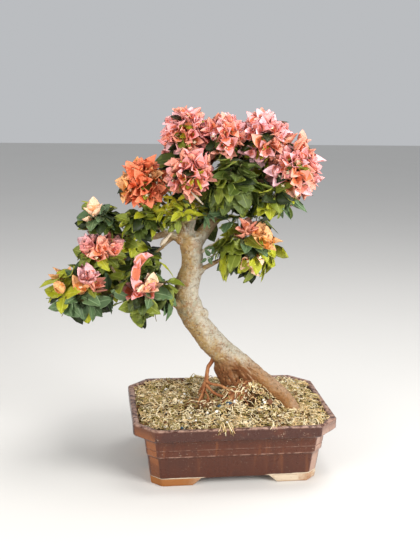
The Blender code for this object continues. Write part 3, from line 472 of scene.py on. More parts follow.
# Depth in metres, and how many to the metre, of what stands out of the bark or is cut into it
BUMP_DEPTH, BUMPS = 0.0012, 75
PIT_DEPTH, PITS = 0.00055, 190
GRAIN_DEPTH, GRAINS = 0.0003, 420
WRINKLE_DEPTH, WRINKLES_AROUND, WRINKLES_ALONG = 0.00035, 50, 330
SPLIT_DEPTH, SPLITS_AROUND, SPLITS_ALONG = 0.0002, 150, 26
OLD_SPLIT_DEPTH = 0.003
SPLIT_WIDTH = 0.15
# The old foot lies below one height and left of one place: axis, where it ends, how far it fades
OLD_FOOT = ((2, 0.205, 0.04), (0, 0.06, 0.03))
FULL_RELIEF_RADIUS = 0.014
BARK_BATCH = 4000
TRUNK_SWELL = 0.1
SWELL_SCALE = 45
BOUGH_STEPS = 10
BOUGH_FOOT_RADIUS = 0.0052
BOUGH_FOOT_SHARE = 0.8
BOUGH_TIP_RADIUS = 0.0024
BOUGH_FOLLOWS_LIMB = 0.35
BOUGH_LEAVING = 0.4
BOUGH_ARRIVING = 0.3
BOUGH_RISE = 0.15
ENTRY_DEPTH = 0.74
OUTLINE_STRAY = 0.22
UNDERSIDE = 0.7
WALL_GAP = 0.008
PALE_BARK = (0.48, 0.435, 0.345)
OCHRE_BARK_AND_SHADE = (0.4, 0.255, 0.085)
TAN_BARK = (0.29, 0.132, 0.044)
ROOT_BROWN_AND_SHADE = (0.175, 0.06, 0.019)
BOUGH_BROWN = (0.33, 0.215, 0.115)
BARK_SPECK = (0.11, 0.062, 0.026)
LICHEN = (0.33, 0.325, 0.225)
CREAM_BARK = (0.64, 0.57, 0.43)


def metres(values):
    """A place or size given in millimetres, in metres."""
    return Vector([value / 1000 for value in values])


def smooth_line(stations, steps):
    """Points and radii along a smooth line through stations."""
    spots = [metres(station[:3]) for station in stations]
    radii = [station[3] / 1000 for station in stations]
    reached = [spots[0] * 2 - spots[1], *spots, spots[-1] * 2 - spots[-2]]
    line = []
    for index in range(len(spots) - 1):
        a, b, c, d = reached[index:index + 4]
        for step in range(steps):
            t = step / steps
            point = 0.5 * (2 * b + (c - a) * t + (2 * a - 5 * b + 4 * c - d) * t * t
                           + (3 * b - a - 3 * c + d) * t * t * t)
            line.append((point, radii[index] + (radii[index + 1] - radii[index]) * t))
    line.append((spots[-1], radii[-1]))
    return line


def headings(line):
    """The direction of travel at each point of a line."""
    spots = [point for point, radius in line]
    pairs = zip(spots[:1] + spots, spots[1:] + spots[-1:])
    return [(ahead - behind).normalized() for behind, ahead in pairs]


def along_line(line, share):
    """The point at a share of the way along a line."""
    spot = share * (len(line) - 1)
    index = min(int(spot), len(line) - 2)
    return line[index][0].lerp(line[index + 1][0], spot - index)


def bent_line(start, leave, arrive, end, first_radius, last_radius, steps):
    """A smooth bend from start to end, with its two guide points, thinning on the way."""
    line = []
    for step in range(steps + 1):
        t = step / steps
        u = 1 - t
        point = start * u ** 3 + leave * 3 * u * u * t + arrive * 3 * u * t * t + end * t ** 3
        line.append((point, first_radius + (last_radius - first_radius) * t))
    return line


def ball(radius, fineness):
    """The points and faces of a ball."""
    shape = bmesh.new()
    bmesh.ops.create_icosphere(shape, subdivisions=fineness, radius=radius)
    points = [vert.co.copy() for vert in shape.verts]
    faces = [[vert.index for vert in face.verts] for face in shape.faces]
    shape.free()
    return points, faces


class Joined:
    """Many small shapes gathered into one mesh, each face with the number of its finish."""

    def __init__(self):
        self.points = []
        self.faces = []
        self.finishes = []

    def add(self, points, faces, finishes=0):
        first = len(self.points)
        self.points.extend(points)
        self.faces.extend([first + corner for corner in face] for face in faces)
        self.finishes.extend([finishes] * len(faces) if isinstance(finishes, int) else finishes)

    def add_tube(self, line, sides, swell=0.0):
        """A closed tapering tube that doesn't twist, with a point at either end."""
        ways = headings(line)
        side = ways[0].orthogonal().normalized()
        points = [line[0][0] - ways[0] * line[0][1] * 0.3]
        for (centre, radius), way in zip(line, ways):
            side = (side - way * side.dot(way)).normalized()
            other = way.cross(side)
            for spoke in range(sides):
                angle = 2 * math.pi * spoke / sides
                outward = side * math.cos(angle) + other * math.sin(angle)
                bulge = 1.0 + swell * noise.noise((centre + outward * radius) * SWELL_SCALE)
                points.append(centre + outward * radius * bulge)
        points.append(line[-1][0] + ways[-1] * line[-1][1] * 0.5)
        last = len(points) - 1
        faces = wall_faces(sides, len(line), 1)
        for spoke in range(sides):
            beside = (spoke + 1) % sides
            faces += [(0, 1 + beside, 1 + spoke), (last - sides + spoke, last - sides + beside, last)]
        self.add(points, faces)

    def mesh(self, name):
        made = woven(name, self.points, self.faces)
        made.polygons.foreach_set("material_index", np.array(self.finishes, dtype=np.int32))
        made.update()
        return made


class Space:
    """The room of one mass: its rounded outline, and flat walls towards its neighbours."""

    def __init__(self, plan):
        self.centre = metres(plan.centre)
        self.half_sizes = metres(plan.half_sizes)
        self.walls = []

    def reach(self, way):
        """How far the outline lies from the centre along a direction."""
        return 1 / math.sqrt(sum((w / h) ** 2 for w, h in zip(way, self.half_sizes)))

    def room(self, way):
        """How far the outline or the nearest wall lies from the centre along a direction."""
        far = [self.reach(way)]
        for wall, square in self.walls:
            if way.dot(square) > 0.01:
                far.append((wall - self.centre).dot(square) / way.dot(square))
        return min(far)

    def add_wall(self, other):
        """Part this space from another by a wall square to the line between their centres."""
        apart = other.centre - self.centre
        way = apart.normalized()
        share = self.reach(way) / (self.reach(way) + other.reach(-way))
        self.walls.append((self.centre + apart * share, way))

    def stray(self, way):
        """How far the leaves' outline stands out or in towards a direction, as a share."""
        return 1 + OUTLINE_STRAY * noise.noise(way * 2.3 + self.centre * 40)

    def depth(self, way, reach):
        """How far out a spray stands, so that its leaves end at the outline or mix past a wall."""
        room = self.room(way)
        return max(min(self.reach(way) * self.stray(way) - reach, room - WALL_GAP), room * 0.45)

    def holds(self, point, outline_spare, wall_spare):
        """Whether a point lies within the outline and the walls, or not too far past them."""
        offset = point - self.centre
        if offset.z < -self.half_sizes.z * (UNDERSIDE + OUTLINE_STRAY * noise.noise(point * 55)):
            return False
        far = sum((o / (h + outline_spare)) ** 2 for o, h in zip(offset, self.half_sizes))
        if far > self.stray(offset.normalized()) ** 2:
            return False
        return all((point - wall).dot(way) <= wall_spare for wall, way in self.walls)


SPACES = {name: Space(plan) for name, plan in MASSES.items()}
for one, another in permutations(SPACES.values(), 2):
    one.add_wall(another)


def spring_bough(parent_line, where, space):
    """A bough from a place along its parent to where it enters its mass."""
    index = round(where * (len(parent_line) - 1))
    start, parent_radius = parent_line[index]
    to_mass = (space.centre - start).normalized()
    entry = space.centre - to_mass * space.reach(to_mass) * ENTRY_DEPTH
    length = (entry - start).length
    leave = start + to_mass.lerp(headings(parent_line)[index], BOUGH_FOLLOWS_LIMB) * length * BOUGH_LEAVING
    rising = (to_mass + Vector(UP) * BOUGH_RISE).normalized()
    foot_radius = min(BOUGH_FOOT_RADIUS, parent_radius * BOUGH_FOOT_SHARE)
    return bent_line(start, leave, entry - rising * length * BOUGH_ARRIVING, entry,
                     foot_radius, BOUGH_TIP_RADIUS, BOUGH_STEPS)


stout = (TRUNK, ROOT_FLARE, FRONT_RIDGE, LEG_RIDGE)
trunk_lines = [smooth_line(stations, TRUNK_STEPS) for stations in stout]
limb_lines = {name: smooth_line(stations, LIMB_STEPS) for name, stations in LIMBS.items()}
feeders = {}
for mass_name, plan in MASSES.items():
    feeders[mass_name] = limb_lines[plan.limb]
    if plan.where is not TIP:
        feeders[mass_name] = spring_bough(limb_lines[plan.limb], plan.where, SPACES[mass_name])
        limb_lines[mass_name + "_bough"] = feeders[mass_name]
wood_lines = trunk_lines + list(limb_lines.values())


def bark_growth():
    """The trunk, its ridges and knots, and every limb and bough, melted into one skin."""
    growth = Joined()
    for line in trunk_lines:
        growth.add_tube(line, TRUNK_SIDES, TRUNK_SWELL)
    for knot in KNOTS:
        points, faces = ball(knot[3] / 1000, 3)
        growth.add([metres(knot[:3]) + point for point in points], faces)
    for line in limb_lines.values():
        growth.add_tube(line, LIMB_SIDES, TRUNK_SWELL * 0.6)
    rough = shown("rough_bark", growth.mesh("rough_bark"))
    melt = rough.modifiers.new("melt", "REMESH")
    melt.mode = "VOXEL"
    melt.voxel_size = BARK_GRAIN
    seen = rough.evaluated_get(bpy.context.evaluated_depsgraph_get())
    skin = bpy.data.meshes.new_from_object(seen)
    bpy.data.objects.remove(rough, do_unlink=True)
    return skin


def relax(mesh, rounds, share):
    """Even out the small steps of a mesh by drawing each point towards its neighbours."""
    places = places_of(mesh)
    count = len(places)
    pairs = np.empty(len(mesh.edges) * 2, dtype=np.int64)
    mesh.edges.foreach_get("vertices", pairs)
    first, last = pairs.reshape(-1, 2).T
    touching = np.bincount(first, minlength=count) + np.bincount(last, minlength=count)
    for _ in range(rounds):
        drawn = [np.bincount(first, column[last], count) + np.bincount(last, column[first], count)
                 for column in places.T]
        places += (np.stack(drawn, axis=1) / touching[:, None] - places) * share
    mesh.vertices.foreach_set("co", places.ravel())
    mesh.update()


def carve_bark(mesh):
    """The bark's relief: bumps and pits all over, wrinkles across it, and splits along the foot."""
    spots = np.array([point for line in wood_lines for point, radius in line])
    thick = np.array([radius for line in wood_lines for point, radius in line])
    ways = np.array([way for line in wood_lines for way in headings(line)])
    places = places_of(mesh)
    nearest = np.concatenate([
        (np.linalg.norm(batch[:, None] - spots, axis=2) / (thick + 0.004)).argmin(1)
        for batch in np.array_split(places, len(places) // BARK_BATCH + 1)])
    way = ways[nearest]
    offset = places - spots[nearest]
    across = offset - way * (offset * way).sum(1)[:, None]
    run = way * (places * way).sum(1)[:, None]
    girth = np.minimum(1.0, thick[nearest] / FULL_RELIEF_RADIUS)
    old = 1.0
    for axis, end, fade in OLD_FOOT:
        old = old * np.clip((end - places[:, axis]) / fade, 0, 1)
    cracks = np.abs(lumps(across * SPLITS_AROUND + run * SPLITS_ALONG))
    splits = np.maximum(0.0, SPLIT_WIDTH - cracks) / SPLIT_WIDTH
    lift = BUMP_DEPTH * lumps(places * BUMPS) + PIT_DEPTH * lumps(places * PITS)
    lift += WRINKLE_DEPTH * lumps(across * WRINKLES_AROUND + run * WRINKLES_ALONG)
    lift = (lift - (SPLIT_DEPTH + OLD_SPLIT_DEPTH * old) * splits) * girth
    lift += GRAIN_DEPTH * lumps(places * GRAINS)
    for *middle, radius, depth in np.array(HOLLOWS) / 1000:
        lift -= depth * np.exp(-(np.linalg.norm(places - middle, axis=1) / radius) ** 2)
    push_out(mesh, lift)


def cut_at_ground(mesh, height):
    """Cut a mesh off flat and close it there."""
    shape = bmesh.new()
    shape.from_mesh(mesh)
    cut = bmesh.ops.bisect_plane(shape, geom=shape.verts[:] + shape.edges[:] + shape.faces[:],
                                 plane_co=(0, 0, height), plane_no=(0, 0, -1), clear_outer=True)
    rim = [part for part in cut["geom_cut"] if isinstance(part, bmesh.types.BMEdge)]
    bmesh.ops.holes_fill(shape, edges=rim, sides=0)
    shape.to_mesh(mesh)
    shape.free()
    mesh.shade_smooth()


bark_mesh = bark_growth()
relax(bark_mesh, 5, 0.5)
carve_bark(bark_mesh)
cut_at_ground(bark_mesh, BARK_GROUND)

bark = Finish("pale_bark", PALE_BARK, 0.78, 0.3)
height = bark.along("Z")
rightward = bark.along("X")
upward = bark.facing("Z")
clouds = bark.speckle(60, 4)
# Surfaces facing left are laid ochre: partly the bark's own tone, partly painted shade and warm light on
# the side away from the main lamp.
bark.lay(OCHRE_BARK_AND_SHADE, (bark.facing("X") + clouds * -1.1).ease(-0.2, -1.0, 0.0, 0.9))
bark.lay(TAN_BARK, bark.speckle(38, 5).ease(0.52, 0.66, 0.0, 0.5))
bark.lay(LICHEN, bark.speckle(75, 5, (1.3, 1, 1)).ease(0.52, 0.66, 0.0, 0.55))
dabs = bark.speckle(230, 5, roughness=0.7).ease(0.52, 0.6, 0.0, 0.62)
bark.lay(CREAM_BARK, dabs * bark.speckle(48).ease(0.42, 0.58, 0.25, 1.0))
# The leg is laid tan and the root foot brown, each thinner on surfaces that face up: the paler tops are
# painted light falling from above.
low = height + clouds * 0.05
upper_side = upward.ease(-0.1, 0.6)
bark.lay(TAN_BARK, low.ease(0.235, 0.195) * upper_side.ease(0.0, 1.0, 1.0, 0.72))
foot = low.ease(0.222, 0.192, 0.0, 0.85) * rightward.ease(0.058, 0.03)
bark.lay(ROOT_BROWN_AND_SHADE, foot * upper_side.ease(0.2, 0.9, 1.0, 0.1))
# Painted shade: surfaces that face down turn brown underneath, on every limb and root.
bark.lay(ROOT_BROWN_AND_SHADE, upward.ease(-0.2, -0.8, 0.0, 0.45))
thin = height.ease(0.455, 0.5, 0.0, 0.75).work("MAXIMUM", rightward.ease(-0.1, -0.125, 0.0, 0.75))
right_branch = rightward.ease(-0.048, -0.036) * height.ease(0.325, 0.338, 0.0, 0.8)
bark.lay(BOUGH_BROWN, thin.work("MAXIMUM", right_branch))
bark.lay(TAN_BARK, bark.speckle(170, 6, roughness=0.75).ease(0.52, 0.62, 0.0, 0.62))
specks = bark.speckle(460).ease(0.55, 0.66) * bark.speckle(90).ease(0.44, 0.62, 0.1, 0.75)
bark.lay(BARK_SPECK, specks)
bark.lay(BARK_SPECK, bark.speckle(120, 4, (0.5, 0.5, 3.2)).ease(0.54, 0.7, 0.0, 0.42))
set_down("trunk_and_boughs", bark_mesh, "bark", ["trunk", *limb_lines],
         bark.paint(bark.speckle(600) + specks * -0.8, 0.0024))

# The dressing over the soil is dry sphagnum: springy curled strands, straw and olive, piled highest
# at the back left, with hollows between them kept dark by painted shade on the bed below.  White grit
# and bits of bark lie in it, and a few tufts hang over the rim.
MOUTH_LENGTH = 0.322
MOUTH_WIDTH = 0.232
MOUTH_CUT = 0.031
MOSS_EDGE = 0.1052
MOSS_HEAPS = (
    # x, y, height and radius in millimetres; the ones with a height below 0 are hollows
    (10, 10, 15, 85), (-60, 70, 11, 50), (75, 45, 6, 55), (-95, -30, 4, 50), (26, -20, 32, 40),
    (54, -34, 12, 26), (-44, 112, 6, 20), (-68, 100, -6, 12), (60, -58, -6, 10), (-7, -85, -6, 9),
    (-55, -45, -5, 10), (90, 10, -5, 14), (-110, 40, -5, 10), (-22, -24, -7, 9), (-52, -12, -6, 9),
    (86, -62, -5, 9), (-100, -62, -5, 8), (30, -88, -4, 8),
)
BED_CELL = 0.0022
BED_SUNK = 0.0034
BED_LUMP = 0.0064
BED_LUMP_SCALE = 74
STRANDS = 5200
STRAND_STEPS = 11
STRAND_SIDES = 3
STRAND_RADII = (0.00042, 0.00098)
STRAND_LENGTHS = (0.01, 0.028)
STRAND_LIFT = 0.0062
STRAND_CURL = 300
STRAND_SWERVE = 130
STRAND_CLIMB = 0.85
STRAND_SUNK = 0.0022
STRAND_DEEPEST = 0.0024
STRAND_WAVES = (1.3, 0.9)
FULL_TURN = 6.28
# How each tuft over the rim varies: sideways, root behind the rim, rise, fall, and gap to the wall
TUFT_SPREAD = 0.006
TUFT_ROOTS = (0.014, 0.026)
TUFT_RISES = (0.0008, 0.0028)
TUFT_FALLS = (0.001, 0.011)
TUFT_GAPS = (0.0022, 0.0034)
TUFT_SWAY = 0.005
MOSS_TINTS = {
    "straw": ((0.71, 0.51, 0.26), 0.38),
    "pale": ((0.9, 0.77, 0.51), 0.26),
    "olive": ((0.4, 0.31, 0.11), 0.22),
    "brown": ((0.19, 0.095, 0.036), 0.14),
}
# The bed under the strands is laid near black: painted shade in the hollows between them.
SHADED_MOSS_BED = (0.04, 0.02, 0.008)
MOSS_BED_PALE = (0.09, 0.052, 0.02)
OVERHANGS = (
    # x and y on the rim's outer edge, way outwards, number of strands
    (-0.021, -0.124, (0, -1, 0), 16), (0.164, 0.01, (1, 0, 0), 9), (0.14, -0.111, (0.4, -0.9, 0), 5),
    (0.16, 0.07, (1, 0.1, 0), 7), (-0.1, 0.121, (0, 1, 0), 6), (0.06, -0.122, (0, -1, 0), 5),
)
GRIT = 150
GRIT_COLOURS = {
    "perlite": (0.86, 0.84, 0.78),
    "cream_grit": (0.72, 0.6, 0.4),
    "bark_chip": (0.16, 0.065, 0.03),
    "slate_chip": (0.045, 0.085, 0.12),
}
PLACED_GRIT = (
    # x, y, radius, and which of the colours
    (0.004, -0.052, 0.005, 0), (-0.006, -0.05, 0.0052, 3), (-0.093, -0.002, 0.005, 1),
    (0.013, -0.099, 0.006, 1), (0.062, -0.052, 0.0065, 2), (-0.03, -0.066, 0.0036, 0),
    (-0.022, -0.046, 0.004, 3), (-0.045, -0.058, 0.0034, 0),
)


def reach_in_mouth(x, y, inset=0.0):
    """How far out a place lies between the middle of the mouth, 0, and its wall, 1."""
    half_x, half_y = MOUTH_LENGTH / 2 - inset, MOUTH_WIDTH / 2 - inset
    diagonal = half_x + half_y - MOUTH_CUT + inset * (2 - math.sqrt(2))
    x, y = np.abs(x), np.abs(y)
    return np.maximum(np.maximum(x / half_x, y / half_y), (x + y) / diagonal)


columns = int(MOUTH_LENGTH / BED_CELL) + 1
rows = int(MOUTH_WIDTH / BED_CELL) + 1
grid_x, grid_y = np.meshgrid(np.linspace(-MOUTH_LENGTH / 2, MOUTH_LENGTH / 2, columns),
                             np.linspace(-MOUTH_WIDTH / 2, MOUTH_WIDTH / 2, rows))
rise = np.zeros_like(grid_x)
for heap_x, heap_y, heap, radius in np.array(MOSS_HEAPS) / 1000:
    rise += heap * np.exp(-((grid_x - heap_x) ** 2 + (grid_y - heap_y) ** 2) / radius ** 2)
grid_z = MOSS_EDGE + rise * np.clip((1 - reach_in_mouth(grid_x, grid_y)) * 5, 0, 1)
spots = np.stack([grid_x, grid_y, grid_x * 0], axis=2).reshape(-1, 3) * BED_LUMP_SCALE
grid_z += BED_LUMP * (lumps(spots) + 0.5 * lumps(spots * 2.6)).reshape(grid_z.shape)


def bed_at(x, y):
    """The height of the lumpy bed under each of many places."""
    u = np.clip((x / MOUTH_LENGTH + 0.5) * (columns - 1), 0, columns - 1.001)
    v = np.clip((y / MOUTH_WIDTH + 0.5) * (rows - 1), 0, rows - 1.001)
    column, row = np.floor(u).astype(int), np.floor(v).astype(int)
    a, b = u - column, v - row
    return ((grid_z[row, column] * (1 - a) + grid_z[row, column + 1] * a) * (1 - b)
            + (grid_z[row + 1, column] * (1 - a) + grid_z[row + 1, column + 1] * a) * b)


bed_points = np.stack([grid_x, grid_y, grid_z - BED_SUNK], axis=2).reshape(-1, 3)
bed_share = reach_in_mouth(grid_x, grid_y, 0.0006).ravel()
outside = bed_share > 1
bed_points[outside, :2] /= bed_share[outside, None]
bed_points[outside, 2] = MOSS_EDGE - BED_SUNK
corners = np.arange(rows * columns).reshape(rows, columns)
bed_faces = np.stack([corners[:-1, :-1], corners[:-1, 1:], corners[1:, 1:], corners[1:, :-1]], axis=2)
bed_faces = bed_faces.reshape(-1, 4)
bed_faces = bed_faces[~outside[bed_faces].all(axis=1)]
bed_mesh = woven("moss_bed", bed_points.tolist(), bed_faces.tolist())
bed_shape = bmesh.new()
bed_shape.from_mesh(bed_mesh)
bmesh.ops.delete(bed_shape, geom=[vert for vert in bed_shape.verts if not vert.link_faces], context="VERTS")
bmesh.ops.remove_doubles(bed_shape, verts=bed_shape.verts, dist=0.00002)
bed_shape.to_mesh(bed_mesh)
bed_shape.free()
# The bed is dark all over, as painted shade under the strands.
set_down("moss_bed", bed_mesh, "dry_moss", ["moss_dressing"],
         mottled("moss_bed", (0.95, 0.1), SHADED_MOSS_BED, (380, 5, (1, 1, 1), 0.7),
                 [(MOSS_BED_PALE, 0.48, 0.66, 1.0)], 0.003))


def strand_tubes(paths, radii):
    """Thin tapering tubes along many paths at once, as points and faces."""
    count, steps = paths.shape[:2]
    ways = np.gradient(paths, axis=1)
    ways /= np.linalg.norm(ways, axis=2, keepdims=True) + 1e-12
    side = np.cross(ways, np.array((0.31, 0.17, 0.93)))
    side /= np.linalg.norm(side, axis=2, keepdims=True) + 1e-12
    other = np.cross(ways, side)
    taper = np.sin(np.linspace(0.25, math.pi - 0.25, steps)) ** 0.5
    thickness = (radii[:, None] * taper)[:, :, None]
    angles = [2 * math.pi * spoke / STRAND_SIDES for spoke in range(STRAND_SIDES)]
    rings = [paths + (side * math.cos(angle) + other * math.sin(angle)) * thickness for angle in angles]
    faces = np.array(wall_faces(STRAND_SIDES, steps))
    every = faces + (np.arange(count) * steps * STRAND_SIDES)[:, None, None]
    return np.stack(rings, axis=2).reshape(-1, 3), every.reshape(-1, 4)


# Strands set off from places all over the bed, and each curls by its own measure
dice = np.random.default_rng(8)
starts_x = dice.uniform(-MOUTH_LENGTH / 2, MOUTH_LENGTH / 2, STRANDS)
starts_y = dice.uniform(-MOUTH_WIDTH / 2, MOUTH_WIDTH / 2, STRANDS)
inside = reach_in_mouth(starts_x, starts_y, 0.004) < 1
starts_x, starts_y = starts_x[inside], starts_y[inside]
count = len(starts_x)
starts_z = bed_at(starts_x, starts_y) + dice.uniform(-STRAND_SUNK, STRAND_LIFT, count) * 0.6
pace = dice.uniform(*STRAND_LENGTHS, count) / (STRAND_STEPS - 1)
heading = dice.uniform(0, FULL_TURN, count)
curl = dice.normal(0, STRAND_CURL, count)
swerve = dice.normal(0, STRAND_SWERVE, count)
climb = dice.normal(0, STRAND_CLIMB, count)
sway = dice.uniform(0, FULL_TURN, count)
paths = [np.stack([starts_x, starts_y, starts_z], axis=1)]
for step in range(1, STRAND_STEPS):
    heading += curl * pace + swerve * pace * np.sin(step * STRAND_WAVES[0] + sway)
    upward = climb * np.cos(step * STRAND_WAVES[1] + sway)
    way = np.stack([np.cos(heading), np.sin(heading), upward], axis=1)
    paths.append(paths[-1] + way * pace[:, None])
paths = np.stack(paths, axis=1)
floor_height = bed_at(paths[:, :, 0], paths[:, :, 1])
paths[:, :, 2] = np.clip(paths[:, :, 2], floor_height - STRAND_DEEPEST, floor_height + STRAND_LIFT)
beyond = reach_in_mouth(paths[:, :, 0], paths[:, :, 1], 0.0012)
paths[:, :, :2] /= np.maximum(beyond, 1.0)[:, :, None]
tufts = []
for x, y, outward, number in OVERHANGS:
    outward = Vector(outward).normalized()
    beside = Vector((-outward.y, outward.x, 0))
    for _ in range(number):
        rim = Vector((x, y, LIP_TOP)) + beside * dice.normal(0, TUFT_SPREAD)
        root = rim - outward * dice.uniform(*TUFT_ROOTS)
        over_rim = rim + outward * 0.0015 + Vector((0, 0, 0.003 + dice.uniform(*TUFT_RISES)))
        fall = Vector((0, 0, dice.uniform(*TUFT_FALLS)))
        end = rim + outward * dice.uniform(*TUFT_GAPS) + beside * dice.normal(0, TUFT_SWAY) - fall
        line = bent_line(root, root + Vector((0, 0, 0.008)), over_rim, end, 0, 0, STRAND_STEPS - 1)
        tufts.append([point for point, _ in line])
paths = np.concatenate([paths, np.array(tufts)])
radii = dice.uniform(*STRAND_RADII, len(paths))
drawn = dice.uniform(0, 1, len(paths))
first_x, first_y = paths[:, 0, 0], paths[:, 0, 1]
tone = 0.5 + 0.22 * np.sin(first_x * 47 + 1.2) + 0.22 * np.cos(first_y * 61 + first_x * 23)
drawn = np.clip(drawn * 0.8 + (1 - tone) * 0.25, 0, 0.999)
from_share = 0.0
for tint, (colour, share) in MOSS_TINTS.items():
    chosen = (drawn >= from_share) & (drawn < from_share + share)
    from_share += share
    points, faces = strand_tubes(paths[chosen], radii[chosen])
    tops = [(toned(colour, 0.55), 0.52, 0.72, 0.8), (toned(colour, 1.25), 0.46, 0.3, 0.8)]
    name = "moss_" + tint
    set_down(name, woven(name, points.tolist(), faces.tolist()), "dry_moss", ["moss_dressing"],
             mottled(name, (0.92, 0.15), colour, (240,), tops, 0.0003, (1500, 2)))

grit = Joined()
chance = random.Random(19)
placed = list(PLACED_GRIT)
for number in range(GRIT):
    x, y = chance.uniform(-0.15, 0.15), chance.uniform(-0.108, 0.1)
    kind = chance.choices((0, 1, 2, 3), (5, 4, 3, 0.6))[0]
    if reach_in_mouth(x, y, 0.008) < 1:
        placed.append((x, y, chance.uniform(0.0012, 0.003), kind))
for x, y, radius, kind in placed:
    seat = Vector((x, y, bed_at(x, y) + radius * 0.75))
    squeeze = Vector((chance.uniform(0.8, 1.2), chance.uniform(0.7, 1.1), chance.uniform(0.6, 0.95)))
    points, faces = ball(radius, 2)
    dents = [1 + 0.35 * noise.noise(point * 0.9 / radius + seat * 100) for point in points]
    grit.add([seat + point * squeeze * dent for point, dent in zip(points, dents)], faces, kind)
set_down("moss_grit", grit.mesh("moss_grit"), "dry_moss", ["moss_dressing"],
         *[mottled(name, (0.8, 0.3), colour, (500,), [(toned(colour, 0.6), 0.5, 0.7, 1.0)], 0.0005)
           for name, colour in GRIT_COLOURS.items()])

# A root hangs free of the trunk at the left and parts into strands over the moss.  Beside the trunk
# a brush of fine rusty rootlets shows, and the crotch of the trunk bears a dry stub and two dead twigs.
AERIAL_ROOTS = (
    ((-18, 4, 200, 5.6), (-33, 1, 180, 3.6), (-38, -3, 164, 3.4), (-41, -6, 147, 4.2), (-46, -8, 128, 3.4),
     (-52, -9, 100, 4.0)),
    ((-41, -6, 152, 3.4), (-30, -13, 146.5, 2.6), (-16, -19, 146, 2.4), (-4, -25, 142, 2.2),
     (14, -34, 144, 1.6)),
    ((-41, -7, 146, 3.2), (-29, -19, 134, 2.5), (-14, -30, 130, 2.2), (4, -42, 130, 1.4)),
    ((-41, -5, 148, 2.8), (-48, 6, 130, 2.4), (-54, 14, 104, 2.4)),
    ((-43, -8, 140, 1.8), (-52, -18, 124, 1.5), (-60, -26, 106, 1.4)),
    ((-42, -8, 136, 1.7), (-38, -22, 122, 1.5), (-36, -30, 108, 1.3)),
)
ROOTLETS = 165
ROOTLET_STEPS = 8
ROOTLET_STEP = 0.0034
ROOTLET_BEND = 0.55
ROOTLET_FAN = 1.9
ROOTLET_RADII = (0.0005, 0.0013)
# Where the two beds of rootlets lie: middle and spread along X, and the reach along Y
ROOTLETS_LEFT = ((-0.04, 0.012), (-0.028, -0.002))
ROOTLETS_RIGHT = ((0.01, 0.009), (-0.046, -0.018))
ROOTLET_RUST = (0.25, 0.085, 0.03)
ROOTLET_PALE = (0.44, 0.22, 0.09)
DRY_STUBS = (
    ((-103.5, -4, 409, 3.2), (-110, -6.5, 401.5, 2.6), (-116, -8, 395, 2.9), (-121, -8.5, 389.5, 1.2)),
    ((-58, 4, 366, 3), (-50, -1, 377, 2.6), (-40, -4, 386, 2.3), (-31, -6, 391, 2), (-24, -7, 400, 1.8)),
    ((-84, -47, 492, 1.2), (-71, -53, 479, 1.7), (-57, -50, 464, 1.0)),
)
DRY_WOOD = (0.5, 0.43, 0.33)
roots = Joined()
chance = random.Random(71)
noise.seed_set(71)
for stations in AERIAL_ROOTS:
    line = []
    for point, radius in smooth_line(stations, 6):
        stray = noise.noise_vector(point * 90) * 0.0016
        line.append((point + stray, radius * (1 + 0.25 * noise.noise(point * 160))))
    roots.add_tube(line, 9, 0.12)
for number in range(ROOTLETS):
    along_x, along_y = ROOTLETS_RIGHT if number % 3 else ROOTLETS_LEFT
    x, y = chance.gauss(*along_x), chance.uniform(*along_y)
    heading = chance.uniform(-ROOTLET_FAN, ROOTLET_FAN) - math.pi / 2
    thick = chance.uniform(*ROOTLET_RADII)
    line = []
    for step in range(ROOTLET_STEPS):
        lift = 0.0012 + 0.0022 * abs(math.sin(step * 0.8 + number))
        line.append((Vector((x, y, bed_at(x, y) + lift)), thick * (1 - step / 12)))
        heading += chance.uniform(-ROOTLET_BEND, ROOTLET_BEND)
        x += math.cos(heading) * ROOTLET_STEP
        y += math.sin(heading) * ROOTLET_STEP
    roots.add_tube(line, 4)
root_skin = Finish("root_bark", ROOTLET_RUST, 0.75, 0.3)
streaks = root_skin.speckle(150, 4, (1, 1, 0.25))
root_skin.lay(ROOTLET_PALE, streaks.ease(0.45, 0.7))
root_skin.lay(BARK_SPECK, root_skin.speckle(420).ease(0.6, 0.75, 0.0, 0.6))
set_down("roots", roots.mesh("roots"), "root_bark", ["aerial_root"], root_skin.paint(streaks, 0.0008))

stubs = Joined()
for stations in DRY_STUBS:
    stubs.add_tube(smooth_line(stations, 5), 8, 0.9)
set_down("dry_stubs", stubs.mesh("dry_stubs"), "bark", [],
         mottled("dry_wood", (0.85, 0.2), DRY_WOOD, (380, 4, (1, 1, 0.3)),
                 [(BOUGH_BROWN, 0.48, 0.68, 0.7)], 0.0005))

# The foliage grows on from the boughs by one rule: a stem runs into each mass, shoots fan out from
# it, and every shoot parts into finer twigs that end in sprays.  The leaves of a spray are pointed
# and folded, on short stalks, and lie over one another like tiles with their tips hanging.
GOLDEN_ANGLE = math.pi * (3.0 - math.sqrt(5.0))
LEAF_KINDS = {
    # shortest and longest, and how wide for its length
    "full": (0.035, 0.048, 0.66),
    "middling": (0.026, 0.036, 0.64),
    "young": (0.018, 0.03, 0.48),
    "small": (0.011, 0.019, 0.5),
    "narrow": (0.032, 0.042, 0.28),
    "crown": (0.019, 0.028, 0.62),
}
KINDS_BORNE = {"fork_sprig": "young", "arm_tip": "middling", "arm_inner": "middling",
               "drop_left": "middling"}
LEAF_PITCHES = (math.radians(38), math.radians(74))
LEAF_HANG = (0.2, 0.65)
LEAF_HANG_BELOW = 0.45
LEAF_TRIES = 12
LEAF_SWING = 1.6
LEAF_TILT = 0.3
LEAF_SHRINK = 0.3
LEAF_WIDTHS = (0.85, 1.1)
LEAF_CUPS = (0.1, 0.45)
LEAF_DROOPS = (0.05, 0.25)
LEAST_SIDE = 0.15
LEAF_STATIONS = (0.1, 0.2, 0.4, 0.64, 0.85)
LEAF_COLUMNS = (-1.0, -0.86, -0.46, -0.06, 0.06, 0.46, 0.86, 1.0)
SHADE_STATIONS = (0.14, 0.4, 0.75)
